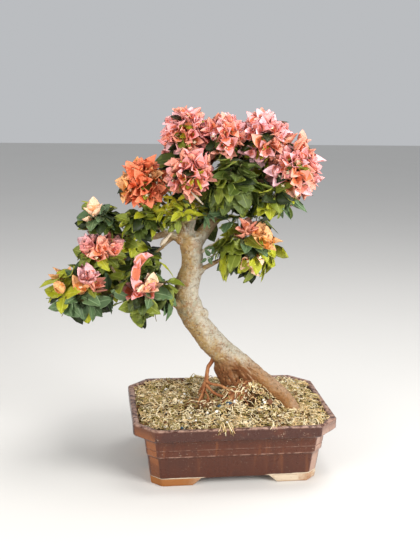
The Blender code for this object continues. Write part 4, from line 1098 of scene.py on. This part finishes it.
SHADE_COLUMNS = (-1.0, 0.0, 1.0)
LEAF_STALK = 0.08
LEAF_THICKNESS = 0.0004
BLADE_WAVE = 0.03
TRIED_WIDTH = 0.8
TRIED_LENGTH = 0.9
OUTLINE_SPARE = 0.006
WALL_SPARE = 0.014
CROWD_CELL = 0.034
GREENS = {
    # body, margin and rib, underside
    # Painted shade: the near-black tint of the leaves deep inside each mass.
    "shade": ((0.018, 0.03, 0.006), (0.04, 0.06, 0.014), (0.03, 0.046, 0.012)),
    # A darker leaf green, given most to the masses under and behind the crown as painted shade there.
    "deep": ((0.06, 0.088, 0.012), (0.125, 0.165, 0.034), (0.105, 0.135, 0.03)),
    "mid": ((0.155, 0.192, 0.018), (0.265, 0.31, 0.055), (0.21, 0.25, 0.048)),
    # A lighter leaf green, partly painted light shining through the leaves.
    "yellow": ((0.34, 0.36, 0.014), (0.48, 0.5, 0.07), (0.35, 0.37, 0.048)),
    # A blue-green that paints the sheen of the pale surround on the leaves.
    "blue": ((0.088, 0.15, 0.062), (0.21, 0.3, 0.15), (0.15, 0.215, 0.1)),
    "young": ((0.49, 0.45, 0.018), (0.64, 0.59, 0.12), (0.49, 0.45, 0.07)),
}
# How rough and how glossy each of a leaf's three parts is
LEAF_SURFACES = {"leaf": (0.46, 0.32), "margin": (0.5, 0.3), "underside": (0.62, 0.25)}
# Rounded rooms that the leaves leave open: middle and half sizes, in millimetres
OPENINGS = (
    ((-68, -45, 412), (30, 55, 36)), ((-114, -20, 394), (22, 70, 20)), ((-58, -40, 360), (20, 50, 40)),
    ((-100, 0, 345), (20, 90, 36)), ((-293, 20, 262), (45, 80, 21)), ((-317, 20, 295), (16, 80, 14)),
    ((-184, 0, 271), (18, 80, 18)), ((-121, -8, 261), (26, 80, 18)), ((-230, 20, 400), (26, 80, 10)),
    ((-173, 0, 449), (22, 80, 10)),
)
# Sprays that stand where the tree shows them.  For each mass: the kind of leaf, and the place in
# millimetres, the way, the number of leaves and the tint of each spray.
PLACED_SPRAYS = {
    "fork_sprig": ("young", (
        ((-110, -15, 461), (-0.6, -0.3, 0.5), 5, "young"), ((-97, -22, 467), (-0.2, -0.5, 0.7), 5, "young"),
        ((-84, -19, 460), (0.0, -0.6, 0.6), 5, "yellow"), ((-71, -20, 468), (0.3, -0.5, 0.7), 5, "young"),
        ((-65, -26, 456), (0.5, -0.6, 0.3), 4, "yellow"),
        ((-119, -14, 443), (-0.8, -0.4, 0.2), 5, "yellow"),
        ((-104, -21, 447), (-0.3, -0.8, 0.2), 5, "young"),
        ((-126, -10, 452), (-0.6, -0.5, 0.6), 4, "yellow"),
        ((-52, -33, 462), (0.3, -0.5, 0.7), 3, "blue"), ((-45, -34, 446), (0.7, -0.5, -0.2), 3, "blue"),
        ((-48, -26, 438), (0.5, -0.7, 0.0), 3, "blue"))),
    "back_left": ("full", (
        ((-48, 57, 450), (0.0, -0.7, -0.3), 5, "deep"), ((-43, 51, 425), (0.2, -0.7, -0.5), 5, "deep"),
        ((-40, 46, 476), (0.0, -0.9, 0.1), 5, "deep"), ((-58, 53, 474), (-0.2, -0.8, 0.1), 5, "deep"),
        ((-80, 50, 462), (-0.2, -0.8, 0.0), 5, "deep"))),
    "arm_tip": ("middling", (
        ((-235, 44, 434), (-0.3, 0.0, 1.0), 4, "mid"), ((-221, 40, 442), (0.1, -0.2, 1.0), 4, "yellow"),
        ((-207, 40, 438), (0.2, -0.2, 1.0), 4, "mid"), ((-190, 40, 426), (0.4, -0.4, 0.7), 4, "mid"))),
    "drop_left": ("middling", (
        ((-178, 24, 392), (-0.3, -0.6, 0.3), 4, "mid"), ((-166, 22, 386), (0.2, -0.7, 0.2), 4, "yellow"))),
    "pad_low_left": ("full", (
        ((-264, 14, 338), (-0.7, -0.4, 0.3), 4, "yellow"), ((-248, 6, 344), (-0.1, -0.6, 0.7), 4, "mid"))),
    "pad_low_mid": ("full", (
        ((-112, -14, 330), (0.7, -0.5, 0.5), 4, "mid"), ((-106, -12, 304), (0.9, -0.4, 0.0), 3, "blue"))),
    "pad_right": ("small", (
        ((-40, -14, 386), (-0.5, -0.6, 0.4), 4, "blue"), ((-43, -12, 368), (-0.6, -0.6, -0.1), 4, "blue"))),
    "under_shoulder": ("narrow", (
        ((62, -60, 470), (0.2, -0.5, -0.8), 4, "blue"), ((80, -56, 478), (0.4, -0.4, -0.8), 4, "blue"))),
}


class Pattern:
    """A thin blade laid out flat, ready to be bent: where each point lies along and across it."""

    def __init__(self, stations, columns, stalk, margin, rib, tip=1.0):
        shares = (np.array(stations) - stalk) / (1 - stalk)
        widths = 2.95 * np.abs(shares) ** 0.6 * (1 - shares) ** 1.05
        widths[np.array(stations) <= stalk + 0.03] = 0.05
        ring = len(columns) + 1
        count = len(stations)
        across = [*columns, 0.0]
        self.along = np.array([0.0, *np.repeat(stations, ring), 1.0])
        self.across = np.array([0.0, *np.outer(widths, across).ravel(), 0.0])
        self.edge = np.array([0.0, *np.tile(across, count), 0.0]) * np.abs(self.across)
        self.under = np.array([0.0, *([0.0] * (ring - 1) + [1.0]) * count, 0.0])
        strips = [(ring - 1, ring, 2, 1.0), (ring, 1, 2, 1.0)]
        for left in range(1, ring - 1):
            middle = abs(columns[left - 1] + columns[left]) / 2
            strips.append((left, left + 1, 1 if middle > margin or middle < rib else 0, tip))
        last = count * ring + 1
        self.faces = []
        self.finishes = []
        for left, right, finish, tip in strips:
            lows = range(0, (count - 1) * ring, ring)
            self.faces += [(0, left, right), (left + last - 1 - ring, last, right + last - 1 - ring)]
            self.faces += [(left + low, left + low + ring, right + low + ring, right + low) for low in lows]
            tips = [1 if station >= tip else finish for station in stations]
            self.finishes += [finish, tips[-1], *tips[:-1]]

    def bent(self, root, along, side, face, length, width, cup, droop):
        """The pattern as a real blade: cupped across, bowed down along, and a little wavy."""
        t = self.along
        bow = 2 * droop if abs(droop) > 0.001 else 0.002
        x = self.across * width / 2
        waves = np.sin(t * 9 + chance.uniform(0, FULL_TURN)) * self.edge
        lift = cup * np.abs(x) + BLADE_WAVE * length * waves - self.under * LEAF_THICKNESS
        forward = length * np.sin(bow * t) / bow + lift * np.sin(bow * t)
        rise = length * (np.cos(bow * t) - 1) / bow + lift * np.cos(bow * t)
        x = x + chance.uniform(-0.07, 0.07) * length * t * t
        bent = np.outer(forward, along) + np.outer(x, side) + np.outer(rise, face)
        return (np.array(root) + bent).tolist()


leaf_pattern = Pattern(LEAF_STATIONS, LEAF_COLUMNS, LEAF_STALK, 0.85, 0.08)
shade_pattern = Pattern(SHADE_STATIONS, SHADE_COLUMNS, LEAF_STALK, 2.0, -1.0)
wood_skin = Joined()
for line in wood_lines:
    wood_skin.add_tube([(point, radius + 0.0004) for point, radius in line], 8)
wood_tree = BVHTree.FromPolygons(wood_skin.points, wood_skin.faces)
crowd = {}
twigs = Joined()
leaves = {tint: Joined() for tint in GREENS}
chance = random.Random(4100)


def stray_by(reach):
    """A small step some way or other."""
    return Vector([chance.uniform(-reach, reach) for _ in range(3)])


def blade_hull(root, along, side, face, length, width, cup, droop):
    """The few corners and faces that stand for a blade when it is tried for room."""
    half = side * width * TRIED_WIDTH / 2
    rise = face * cup * width * 0.3
    tip = root + along * length * TRIED_LENGTH - face * droop * length * TRIED_LENGTH
    near = root + along * length * 0.3 + rise - face * droop * length * 0.08
    far = root + along * length * 0.6 + rise - face * droop * length * 0.35
    start = root + along * length * 0.14
    points = [start, near + half, far + half * 0.8, tip, far - half * 0.8, near - half]
    return points, [(0, 1, 5), (1, 2, 4, 5), (2, 3, 4)]


def in_opening(point):
    """Whether a point lies in one of the rooms that are left open."""
    return any(sum((o / h) ** 2 for o, h in zip(point - metres(middle), metres(half))) < 1
               for middle, half in OPENINGS)


def clear_way(blade, space):
    """Whether a blade has room in its mass and among what is there; if so, its place is taken."""
    points, faces = blade_hull(*blade)
    root, along, side, face, length = blade[:5]
    middle = root + along * length * 0.5
    size = length * 0.45
    if space:
        if not all(space.holds(point, OUTLINE_SPARE, WALL_SPARE) for point in points):
            return False
        if in_opening(points[3]) or in_opening(middle):
            return False
    skin = BVHTree.FromPolygons(points, faces)
    if skin.overlap(wood_tree):
        return False
    cell = tuple(math.floor(value / CROWD_CELL) for value in middle)
    for step in product((-1, 0, 1), repeat=3):
        beside = tuple(here + away for here, away in zip(cell, step))
        for other, place, other_size in crowd.get(beside, ()):
            if (place - middle).length < size + other_size and skin.overlap(other):
                return False
    crowd.setdefault(cell, []).append((skin, middle, size))
    return True


def grow_leaf(root, outward, spin, tint, length, slimness, space, pattern):
    """A leaf on its stalk, laid outwards and down so that its upper side looks out of the crown."""
    beside = outward.orthogonal().normalized()
    for attempt in range(LEAF_TRIES):
        loose = attempt / LEAF_TRIES
        angle = spin + chance.uniform(-LEAF_SWING, LEAF_SWING) * loose
        turned = Matrix.Rotation(angle, 3, outward) @ beside
        pitch = chance.uniform(*LEAF_PITCHES)
        hang = chance.uniform(*LEAF_HANG) + LEAF_HANG_BELOW * max(0.0, -outward.z)
        turned = (turned - Vector((0, 0, hang))).normalized()
        along = (outward * math.cos(pitch) + turned * math.sin(pitch)).normalized()
        side = along.cross(outward + Vector((0, 0, 0.5)) + stray_by(LEAF_TILT))
        if side.length < LEAST_SIDE:
            continue
        side.normalize()
        size = length * (1 - LEAF_SHRINK * loose)
        width = size * slimness * chance.uniform(*LEAF_WIDTHS)
        cup = chance.uniform(*LEAF_CUPS)
        droop = chance.uniform(*LEAF_DROOPS)
        blade = (root, along, side, side.cross(along).normalized(), size, width, cup, droop)
        if clear_way(blade, space):
            leaves[tint].add(pattern.bent(*blade), pattern.faces, pattern.finishes)
            return


# The blossom is clusters of papery bracts in threes, cupped like little boats, each paler at its
# edge and tip, partly from painted light, with a slender flower tube at its heart that opens in a cream
# star.  Heads of it crown the tree in rose and coral, and a few orange and peach ones stand in the lower
# pads.
BRACT_LENGTHS = (0.026, 0.036)
BRACT_SLIMNESS = 0.68
BRACT_PITCHES = (math.radians(20), math.radians(50))
BRACTS_TO_A_FLOWER = 3
BRACT_TRIES = 7
BRACT_SWING = 0.5
BRACT_SHRINK = 0.2
BRACT_WIDTHS = (0.9, 1.15)
BRACT_CUPS = (0.45, 0.8)
BRACT_BOW = 0.14
BRACT_SEAT = 0.0016
BRACT_STATIONS = (0.05, 0.16, 0.34, 0.54, 0.74, 0.9)
BRACT_COLUMNS = (-1.0, -0.82, 0.0, 0.82, 1.0)
BRACT_TIP = 0.54
FLOWER_LENGTH = 0.016
FLOWER_RADIUS = 0.0008
FLOWER_CHANCE = 0.5
STAR_CHANCE = 0.6
STAR_RADIUS = 0.0046
STAR_SPOKES = 10
TUBE_OCHRE = (0.56, 0.33, 0.14)
STAR_CREAM = (0.86, 0.8, 0.56)
# The edge and tip tint is partly the bracts' own paler rim, partly painted light where the thin tips catch
# it and let it through.
BRACT_TINTS = {
    # body, edge and tip, outer side
    "rose": ((0.76, 0.215, 0.115), (0.9, 0.44, 0.44), (0.82, 0.31, 0.27)),
    "salmon": ((0.79, 0.265, 0.115), (0.89, 0.43, 0.33), (0.84, 0.35, 0.24)),
    "coral": ((0.73, 0.15, 0.05), (0.85, 0.27, 0.14), (0.79, 0.215, 0.1)),
    "orange": ((0.82, 0.32, 0.075), (0.92, 0.52, 0.25), (0.86, 0.43, 0.17)),
    "peach": ((0.92, 0.48, 0.23), (0.96, 0.68, 0.48), (0.94, 0.6, 0.41)),
    "blush": ((0.85, 0.33, 0.25), (0.95, 0.59, 0.63), (0.9, 0.46, 0.45)),
}
# Clusters that the pads bear: mass, way out from its middle, flowers, tint
CLUSTERS = {
    "arm_tip": (((-0.62, -0.45, 0.62), 1, "peach"), ((-0.9, -0.4, 0.00), 1, "peach")),
    "pad_high_left": (((-0.85, -0.5, 0.05), 4, "rose"), ((-0.3, -0.9, 0.00), 4, "salmon"),
                      ((0.4, -0.85, 0.1), 4, "salmon"), ((0.85, -0.4, 0.1), 3, "rose"),
                      ((-0.4, 0.3, 0.3), 3, "blush"), ((0.4, 0.3, 0.3), 3, "rose")),
    "pad_low_left": (((-0.72, -0.67, 0.2), 1, "orange"), ((0.1, -0.92, 0.2), 1, "orange"),
                     ((0.5, -0.58, 0.62), 4, "blush"), ((0.62, -0.68, 0.34), 4, "salmon"),
                     ((-0.7, 0.6, 0.4), 2, "orange")),
    "pad_low_mid": (((-0.15, -0.85, 0.4), 3, "rose"), ((-0.5, -0.75, 0.35), 2, "rose"),
                    ((0.3, -0.8, 0.45), 3, "peach")),
    "pad_right": (((-0.23, -0.62, 0.76), 3, "salmon"), ((0.06, -0.7, 0.71), 2, "orange"),
                  ((0.62, -0.74, 0.25), 3, "orange"), ((0.8, -0.5, 0.1), 2, "blush"),
                  ((-0.03, -0.8, -0.6), 2, "peach"), ((0.35, -0.85, -0.39), 1, "peach"),
                  ((0.5, 0.6, 0.6), 2, "peach")),
}
CLUSTER_WIDTH = 0.9
# Blades that stand alone, a hooded bract and a bare shoot: tint, root and tip in millimetres, the
# way the upper side looks, width, cup and bow
LONE_BLADES = (
    ("rose", (-162, -40, 338), (-156, -43, 376), (-0.5, -0.85, 0.0), 0.018, 0.9, 0.1),
    ("rose", (-159, -41, 358), (-145, -44, 393), (-0.7, -0.7, 0.3), 0.022, 0.9, 0.75),
    ("yellow", (-96, 5, 328), (-114, 5, 368), (0.8, -0.4, 0.3), 0.006, 0.3, 0.35),
)
bract_pattern = Pattern(BRACT_STATIONS, BRACT_COLUMNS, 0.0, 0.88, -1, BRACT_TIP)
bracts = {tint: Joined() for tint in BRACT_TINTS}
flowers = Joined()


def grow_flower(root, axis):
    """A flower tube, and on some its open star."""
    tip_way = (axis + stray_by(0.25)).normalized()
    length = FLOWER_LENGTH * chance.uniform(0.75, 1.1)
    tip = root + tip_way * length
    flowers.add_tube(bent_line(root, root + axis * length * 0.4, tip - tip_way * length * 0.3, tip,
                               FLOWER_RADIUS * 0.7, FLOWER_RADIUS * 1.25, 3), 5)
    if chance.random() < STAR_CHANCE:
        side = tip_way.orthogonal().normalized()
        points = [tip + tip_way * 0.0002, tip - tip_way * 0.0008]
        faces = []
        for spoke in range(STAR_SPOKES):
            turned = Matrix.Rotation(2 * math.pi * spoke / STAR_SPOKES, 3, tip_way) @ side
            reach, lift = (STAR_RADIUS * 0.42, 0.001) if spoke % 2 else (STAR_RADIUS, 0.0016)
            points.append(tip + turned * reach + tip_way * lift)
            here, beside = 2 + spoke, 2 + (spoke + 1) % STAR_SPOKES
            faces += [(0, here, beside), (1, beside, here)]
        flowers.add(points, faces, 1)


def grow_triple(root, axis, tint, space, dense):
    """Three bracts round a flower's axis, each in the first way that has room."""
    spin = chance.uniform(0, FULL_TURN)
    opening = chance.uniform(*BRACT_PITCHES)
    for bract in range(BRACTS_TO_A_FLOWER):
        for attempt in range(BRACT_TRIES):
            loose = attempt / BRACT_TRIES
            angle = spin + bract * 2 * math.pi / BRACTS_TO_A_FLOWER + chance.uniform(-1, 1) * loose
            turned = Matrix.Rotation(angle, 3, axis) @ axis.orthogonal().normalized()
            swing = chance.uniform(-0.15, 0.15) + chance.uniform(-BRACT_SWING, BRACT_SWING) * loose
            pitch = opening + swing
            along = (axis * math.cos(pitch) + turned * math.sin(pitch)).normalized()
            face = (axis * math.sin(pitch) - turned * math.cos(pitch)).normalized()
            length = chance.uniform(*BRACT_LENGTHS) * (1 - BRACT_SHRINK * loose)
            width = length * BRACT_SLIMNESS * chance.uniform(*BRACT_WIDTHS)
            cup = chance.uniform(*BRACT_CUPS)
            droop = chance.uniform(-BRACT_BOW, BRACT_BOW)
            blade = (root + turned * BRACT_SEAT, along, along.cross(face).normalized(), face, length, width)
            last_try = dense and attempt == BRACT_TRIES - 1
            if last_try or clear_way((*blade, cup * 0.6, droop), space):
                bent = bract_pattern.bent(*blade, cup, droop)
                bracts[tint].add(bent, bract_pattern.faces, bract_pattern.finishes)
                break
    if chance.random() < FLOWER_CHANCE:
        grow_flower(root, axis)


# The wood within the masses is thin and brown-green, lightly ribbed, and each twig ends in a spray.
# Where a mass blossoms, its sprays bear bracts with a leaf or a few behind them.
STEM_RADIUS = 0.0022
SHOOT_RADIUS = 0.0017
TWIG_RADIUS = 0.0011
TWIG_TIP_RADIUS = 0.0007
STEM_PAST_CENTRE = 0.1
FORKS_AT = 0.42
SPRAYS_TO_A_SHOOT = 4
SPRAY_STRAY = 0.1
# How far the flowers of a cluster, and a flower that stands alone, stray from their spot, and how
# much that turns them
CLUSTER_SPREAD = 0.011
LONE_SPREAD = 0.004
TURN_BY_SPREAD = 24
# What draws the blossom of a head and of a pad towards the light
HEAD_LIGHT = Vector((0, -0.2, 0.35))
PAD_LIGHT = Vector((0, 0, 0.75))
LEAVES_TO_A_SPRAY = (3, 5)
SHADE_LEAVES = 3
SHADE_DEPTH = 0.46
LEAF_REACH = 0.024
BRACT_REACH = 0.027
TWIG_BROWN = (0.23, 0.16, 0.07)
TWIG_GREEN = (0.17, 0.19, 0.05)


def spiral_way(rank, count, stray=0.0):
    """The direction of one of many spots spread evenly over a ball."""
    height = 1 - 2 * (rank + 0.5) / count
    level = math.sqrt(1 - height * height)
    turn = rank * GOLDEN_ANGLE
    return (Vector((level * math.cos(turn), level * math.sin(turn), height)) + stray_by(stray)).normalized()


def grow_wood(start, target, way, ending, radii, sides):
    """A shoot or a twig that rises a little and runs out along a direction."""
    line = bent_line(start, start.lerp(target, 0.4) + Vector((0, 0, 0.003)), target - way * ending, target,
                     *radii, 4)
    twigs.add_tube(line, sides)
    return line


def grow_twig(shoots, target, way):
    """A twig from the nearest shoot to the place of a spray."""
    shoot_way, shoot = max(shoots, key=lambda pair: pair[0].dot(way))
    start = along_line(shoot, chance.uniform(0.6, 1.0))
    return grow_wood(start, target, way, 0.006, (TWIG_RADIUS, TWIG_TIP_RADIUS), 4)


def grow_spray(line, way, tint, space, kind, number, pattern=leaf_pattern):
    """Leaves round the end of a twig by the golden angle."""
    shortest, longest, slimness = LEAF_KINDS[kind]
    spin = chance.uniform(0, FULL_TURN)
    for leaf in range(number):
        spin += GOLDEN_ANGLE
        grow_leaf(along_line(line, 1 - 0.45 * leaf / number), way, spin, tint,
                  chance.uniform(shortest, longest), slimness, space, pattern)


def grow_mass(name, plan):
    """The stem, the shoots from it, the twigs that part from them, and a spray on every twig."""
    space = SPACES[name]
    centre = space.centre
    greens = plan.greens.split()
    feeder = feeders[name]
    heading = headings(feeder)[-1]
    root = feeder[-1][0] - heading * 0.001
    end = centre + (centre - root) * STEM_PAST_CENTRE
    stem = bent_line(root, root + heading * 0.008, root.lerp(end, 0.6), end, feeder[-1][1], STEM_RADIUS, 6)
    twigs.add_tube(stem, 7, 0.1)
    shoots = []
    shoot_count = max(3, plan.sprays // SPRAYS_TO_A_SHOOT)
    for rank in range(shoot_count):
        way = spiral_way(rank, shoot_count)
        start = along_line(stem, 1 - 0.6 * (rank + 0.5) / shoot_count)
        fork = centre + way * space.room(way) * FORKS_AT
        shoots.append((way, grow_wood(start, fork, way, 0.004, (SHOOT_RADIUS, TWIG_RADIUS), 5)))
    blossom_way = Vector(plan.blossom_way).normalized()
    clusters = [(Vector(way).normalized(), number, tint) for way, number, tint in CLUSTERS.get(name, ())]
    leafy = []
    flowering = list(clusters)
    for rank in range(plan.sprays):
        way = spiral_way(rank, plan.sprays, SPRAY_STRAY)
        if (way.dot(blossom_way) + 1) / 2 > 1 - plan.blossom_share:
            flowering.append((way, 1, chance.choice(plan.bracts.split())))
        elif all(way.dot(cluster) < CLUSTER_WIDTH for cluster, number, tint in clusters):
            leafy.append(way)
    for way, number, tint in flowering:
        target = centre + way * space.depth(way, BRACT_REACH)
        line = grow_twig(shoots, target, way)
        if not clusters:
            upward = (way + HEAD_LIGHT).normalized()
        elif way.z > -0.3:
            upward = (way * 0.5 + PAD_LIGHT).normalized()
        else:
            upward = way
        for flower in range(number):
            offset = stray_by(1) * (CLUSTER_SPREAD if number > 1 else LONE_SPREAD)
            axis = (upward + offset * TURN_BY_SPREAD).normalized()
            grow_triple(target + offset * 0.6, axis, tint, space, not clusters or number > 2)
        kind, number = ("full", 3) if clusters else ("crown", 1)
        grow_spray(line, way, chance.choice(greens), space, kind, number)
    kind, sprays = PLACED_SPRAYS.get(name, ("full", ()))
    for place, way, number, green in sprays:
        way = Vector(way).normalized()
        grow_spray(grow_twig(shoots, metres(place), way), way, green, None, kind, number)
    for way in leafy:
        green = chance.choice(greens)
        line = grow_twig(shoots, centre + way * space.depth(way, LEAF_REACH), way)
        number = chance.randint(*LEAVES_TO_A_SPRAY)
        grow_spray(line, way, green, space, KINDS_BORNE.get(name, "full"), number)
    # Inner leaves deep in each mass, in the near-black shade tint: painted shade of the crown's depths.
    for rank in range(plan.sprays // 3):
        way = spiral_way(rank, plan.sprays // 3, SPRAY_STRAY)
        line = grow_twig(shoots, centre + way * space.room(way) * SHADE_DEPTH, way)
        grow_spray(line, way, "shade", space, "full", SHADE_LEAVES, shade_pattern)


def leaf_skin(name, surface, colour):
    """Leaf skin: one green, faintly clouded, with a fine grain of veins."""
    tops = [(toned(colour, 0.72), 0.52, 0.75, 0.8), (toned(colour, 1.22), 0.48, 0.25, 0.8)]
    return mottled(name, surface, colour, (110,), tops, 0.0005, (650,))


def bract_paper(name, colour):
    """Papery bract: one tint, with a net of fine veins that is a little deeper."""
    tops = [(toned(colour, (0.86, 0.68, 0.6)), 0.5, 0.7, 0.7), (toned(colour, 1.15), 0.46, 0.28, 0.7)]
    return mottled(name, (0.62, 0.25), colour, (330, 4), tops, 0.0004, (900,))


for tint, root, tip, facing, width, cup, bow in LONE_BLADES:
    joined, pattern = (bracts[tint], bract_pattern) if tint in bracts else (leaves[tint], leaf_pattern)
    reach = metres(tip) - metres(root)
    side = reach.cross(Vector(facing)).normalized()
    blade = (metres(root), reach.normalized(), side, side.cross(reach).normalized(), reach.length)
    joined.add(pattern.bent(*blade, width, cup, bow), pattern.faces, pattern.finishes)
for mass_name, plan in MASSES.items():
    grow_mass(mass_name, plan)
set_down("twigs", twigs.mesh("twigs"), "bark", list(MASSES),
         mottled("twig_bark", (0.7, 0.3), TWIG_BROWN, (240,), [(TWIG_GREEN, 0.42, 0.62, 1.0)], 0.0006))
for tint, colours in GREENS.items():
    set_down("leaves_" + tint, leaves[tint].mesh("leaves_" + tint), "foliage", list(MASSES),
             *[leaf_skin(f"{tint}_{part}", surface, colour)
               for (part, surface), colour in zip(LEAF_SURFACES.items(), colours)])
for tint, colours in BRACT_TINTS.items():
    set_down("bracts_" + tint, bracts[tint].mesh("bracts_" + tint), "blossom", list(MASSES),
             *[bract_paper(f"{tint}_{part}", colour)
               for part, colour in zip(("bract", "edge", "outer"), colours)])
set_down("flowers", flowers.mesh("flowers"), "blossom", list(MASSES),
         bract_paper("flower_tube", TUBE_OCHRE), bract_paper("flower_star", STAR_CREAM))

# The plant stands on a plain pale floor under soft studio light: a broad lamp at the right, a warm
# weaker one at the left, one overhead, and an even pale surround.
FLOOR_PALE = (0.68, 0.67, 0.65)
FLOOR_SHADE = (0.66, 0.65, 0.63)
SURROUND = (0.8, 0.82, 0.85)
SURROUND_STRENGTH = 0.62
LAMP_AIM = Vector((0.0, 0.0, 0.32))
LAMPS = {
    # place, size, watts, colour
    "right_lamp": ((1.25, -1.3, 0.95), 0.9, 43, (1.0, 0.98, 0.95)),
    "left_lamp": ((-1.6, -1.1, 0.9), 1.2, 27, (1.0, 0.95, 0.88)),
    "top_lamp": ((0.5, 0.1, 2.1), 1.0, 24, (1.0, 0.98, 0.96)),
}
floor = shown("floor", woven("floor", [(-6, -6, 0), (6, -6, 0), (6, 6, 0), (-6, 6, 0)], [(0, 1, 2, 3)]))
floor_finish = Finish("pale_floor", FLOOR_PALE, 0.9, 0.2)
floor_finish.lay(FLOOR_SHADE, floor_finish.speckle(3, 2))
floor.data.materials.append(floor_finish.paint())
for name, (place, size, power, colour) in LAMPS.items():
    light = bpy.data.lights.new(name, "AREA")
    light.size = size
    light.energy = power
    light.color = colour
    lamp = shown(name, light)
    lamp.location = place
    lamp.rotation_mode = "QUATERNION"
    lamp.rotation_quaternion = (LAMP_AIM - Vector(place)).to_track_quat("-Z", "Y")
surround = bpy.data.worlds.new("surround")
surround.use_nodes = True
surround.node_tree.nodes["Background"].inputs["Color"].default_value = (*SURROUND, 1)
surround.node_tree.nodes["Background"].inputs["Strength"].default_value = SURROUND_STRENGTH
bpy.context.scene.world = surround
bpy.context.scene.view_settings.view_transform = "Standard"

# The camera looks down a little on the front of the pot from slightly left of its middle.
CAMERA_PLACE = Vector((-0.2383, -1.4573, 0.689))
CAMERA_AIM = Vector((0.1333, 0.9619, -0.2385))
CAMERA_UP = Vector((0.0129, 0.239, 0.9709))
CAMERA_LENS = 57.9
camera = shown("camera", bpy.data.cameras.new("camera"))
aim = CAMERA_AIM.normalized()
right = aim.cross(CAMERA_UP).normalized()
turned = Matrix((right, right.cross(aim), -aim)).transposed().to_4x4()
camera.matrix_world = Matrix.Translation(CAMERA_PLACE + POT_MIDDLE) @ turned
camera.data.lens = CAMERA_LENS
bpy.context.scene.camera = camera
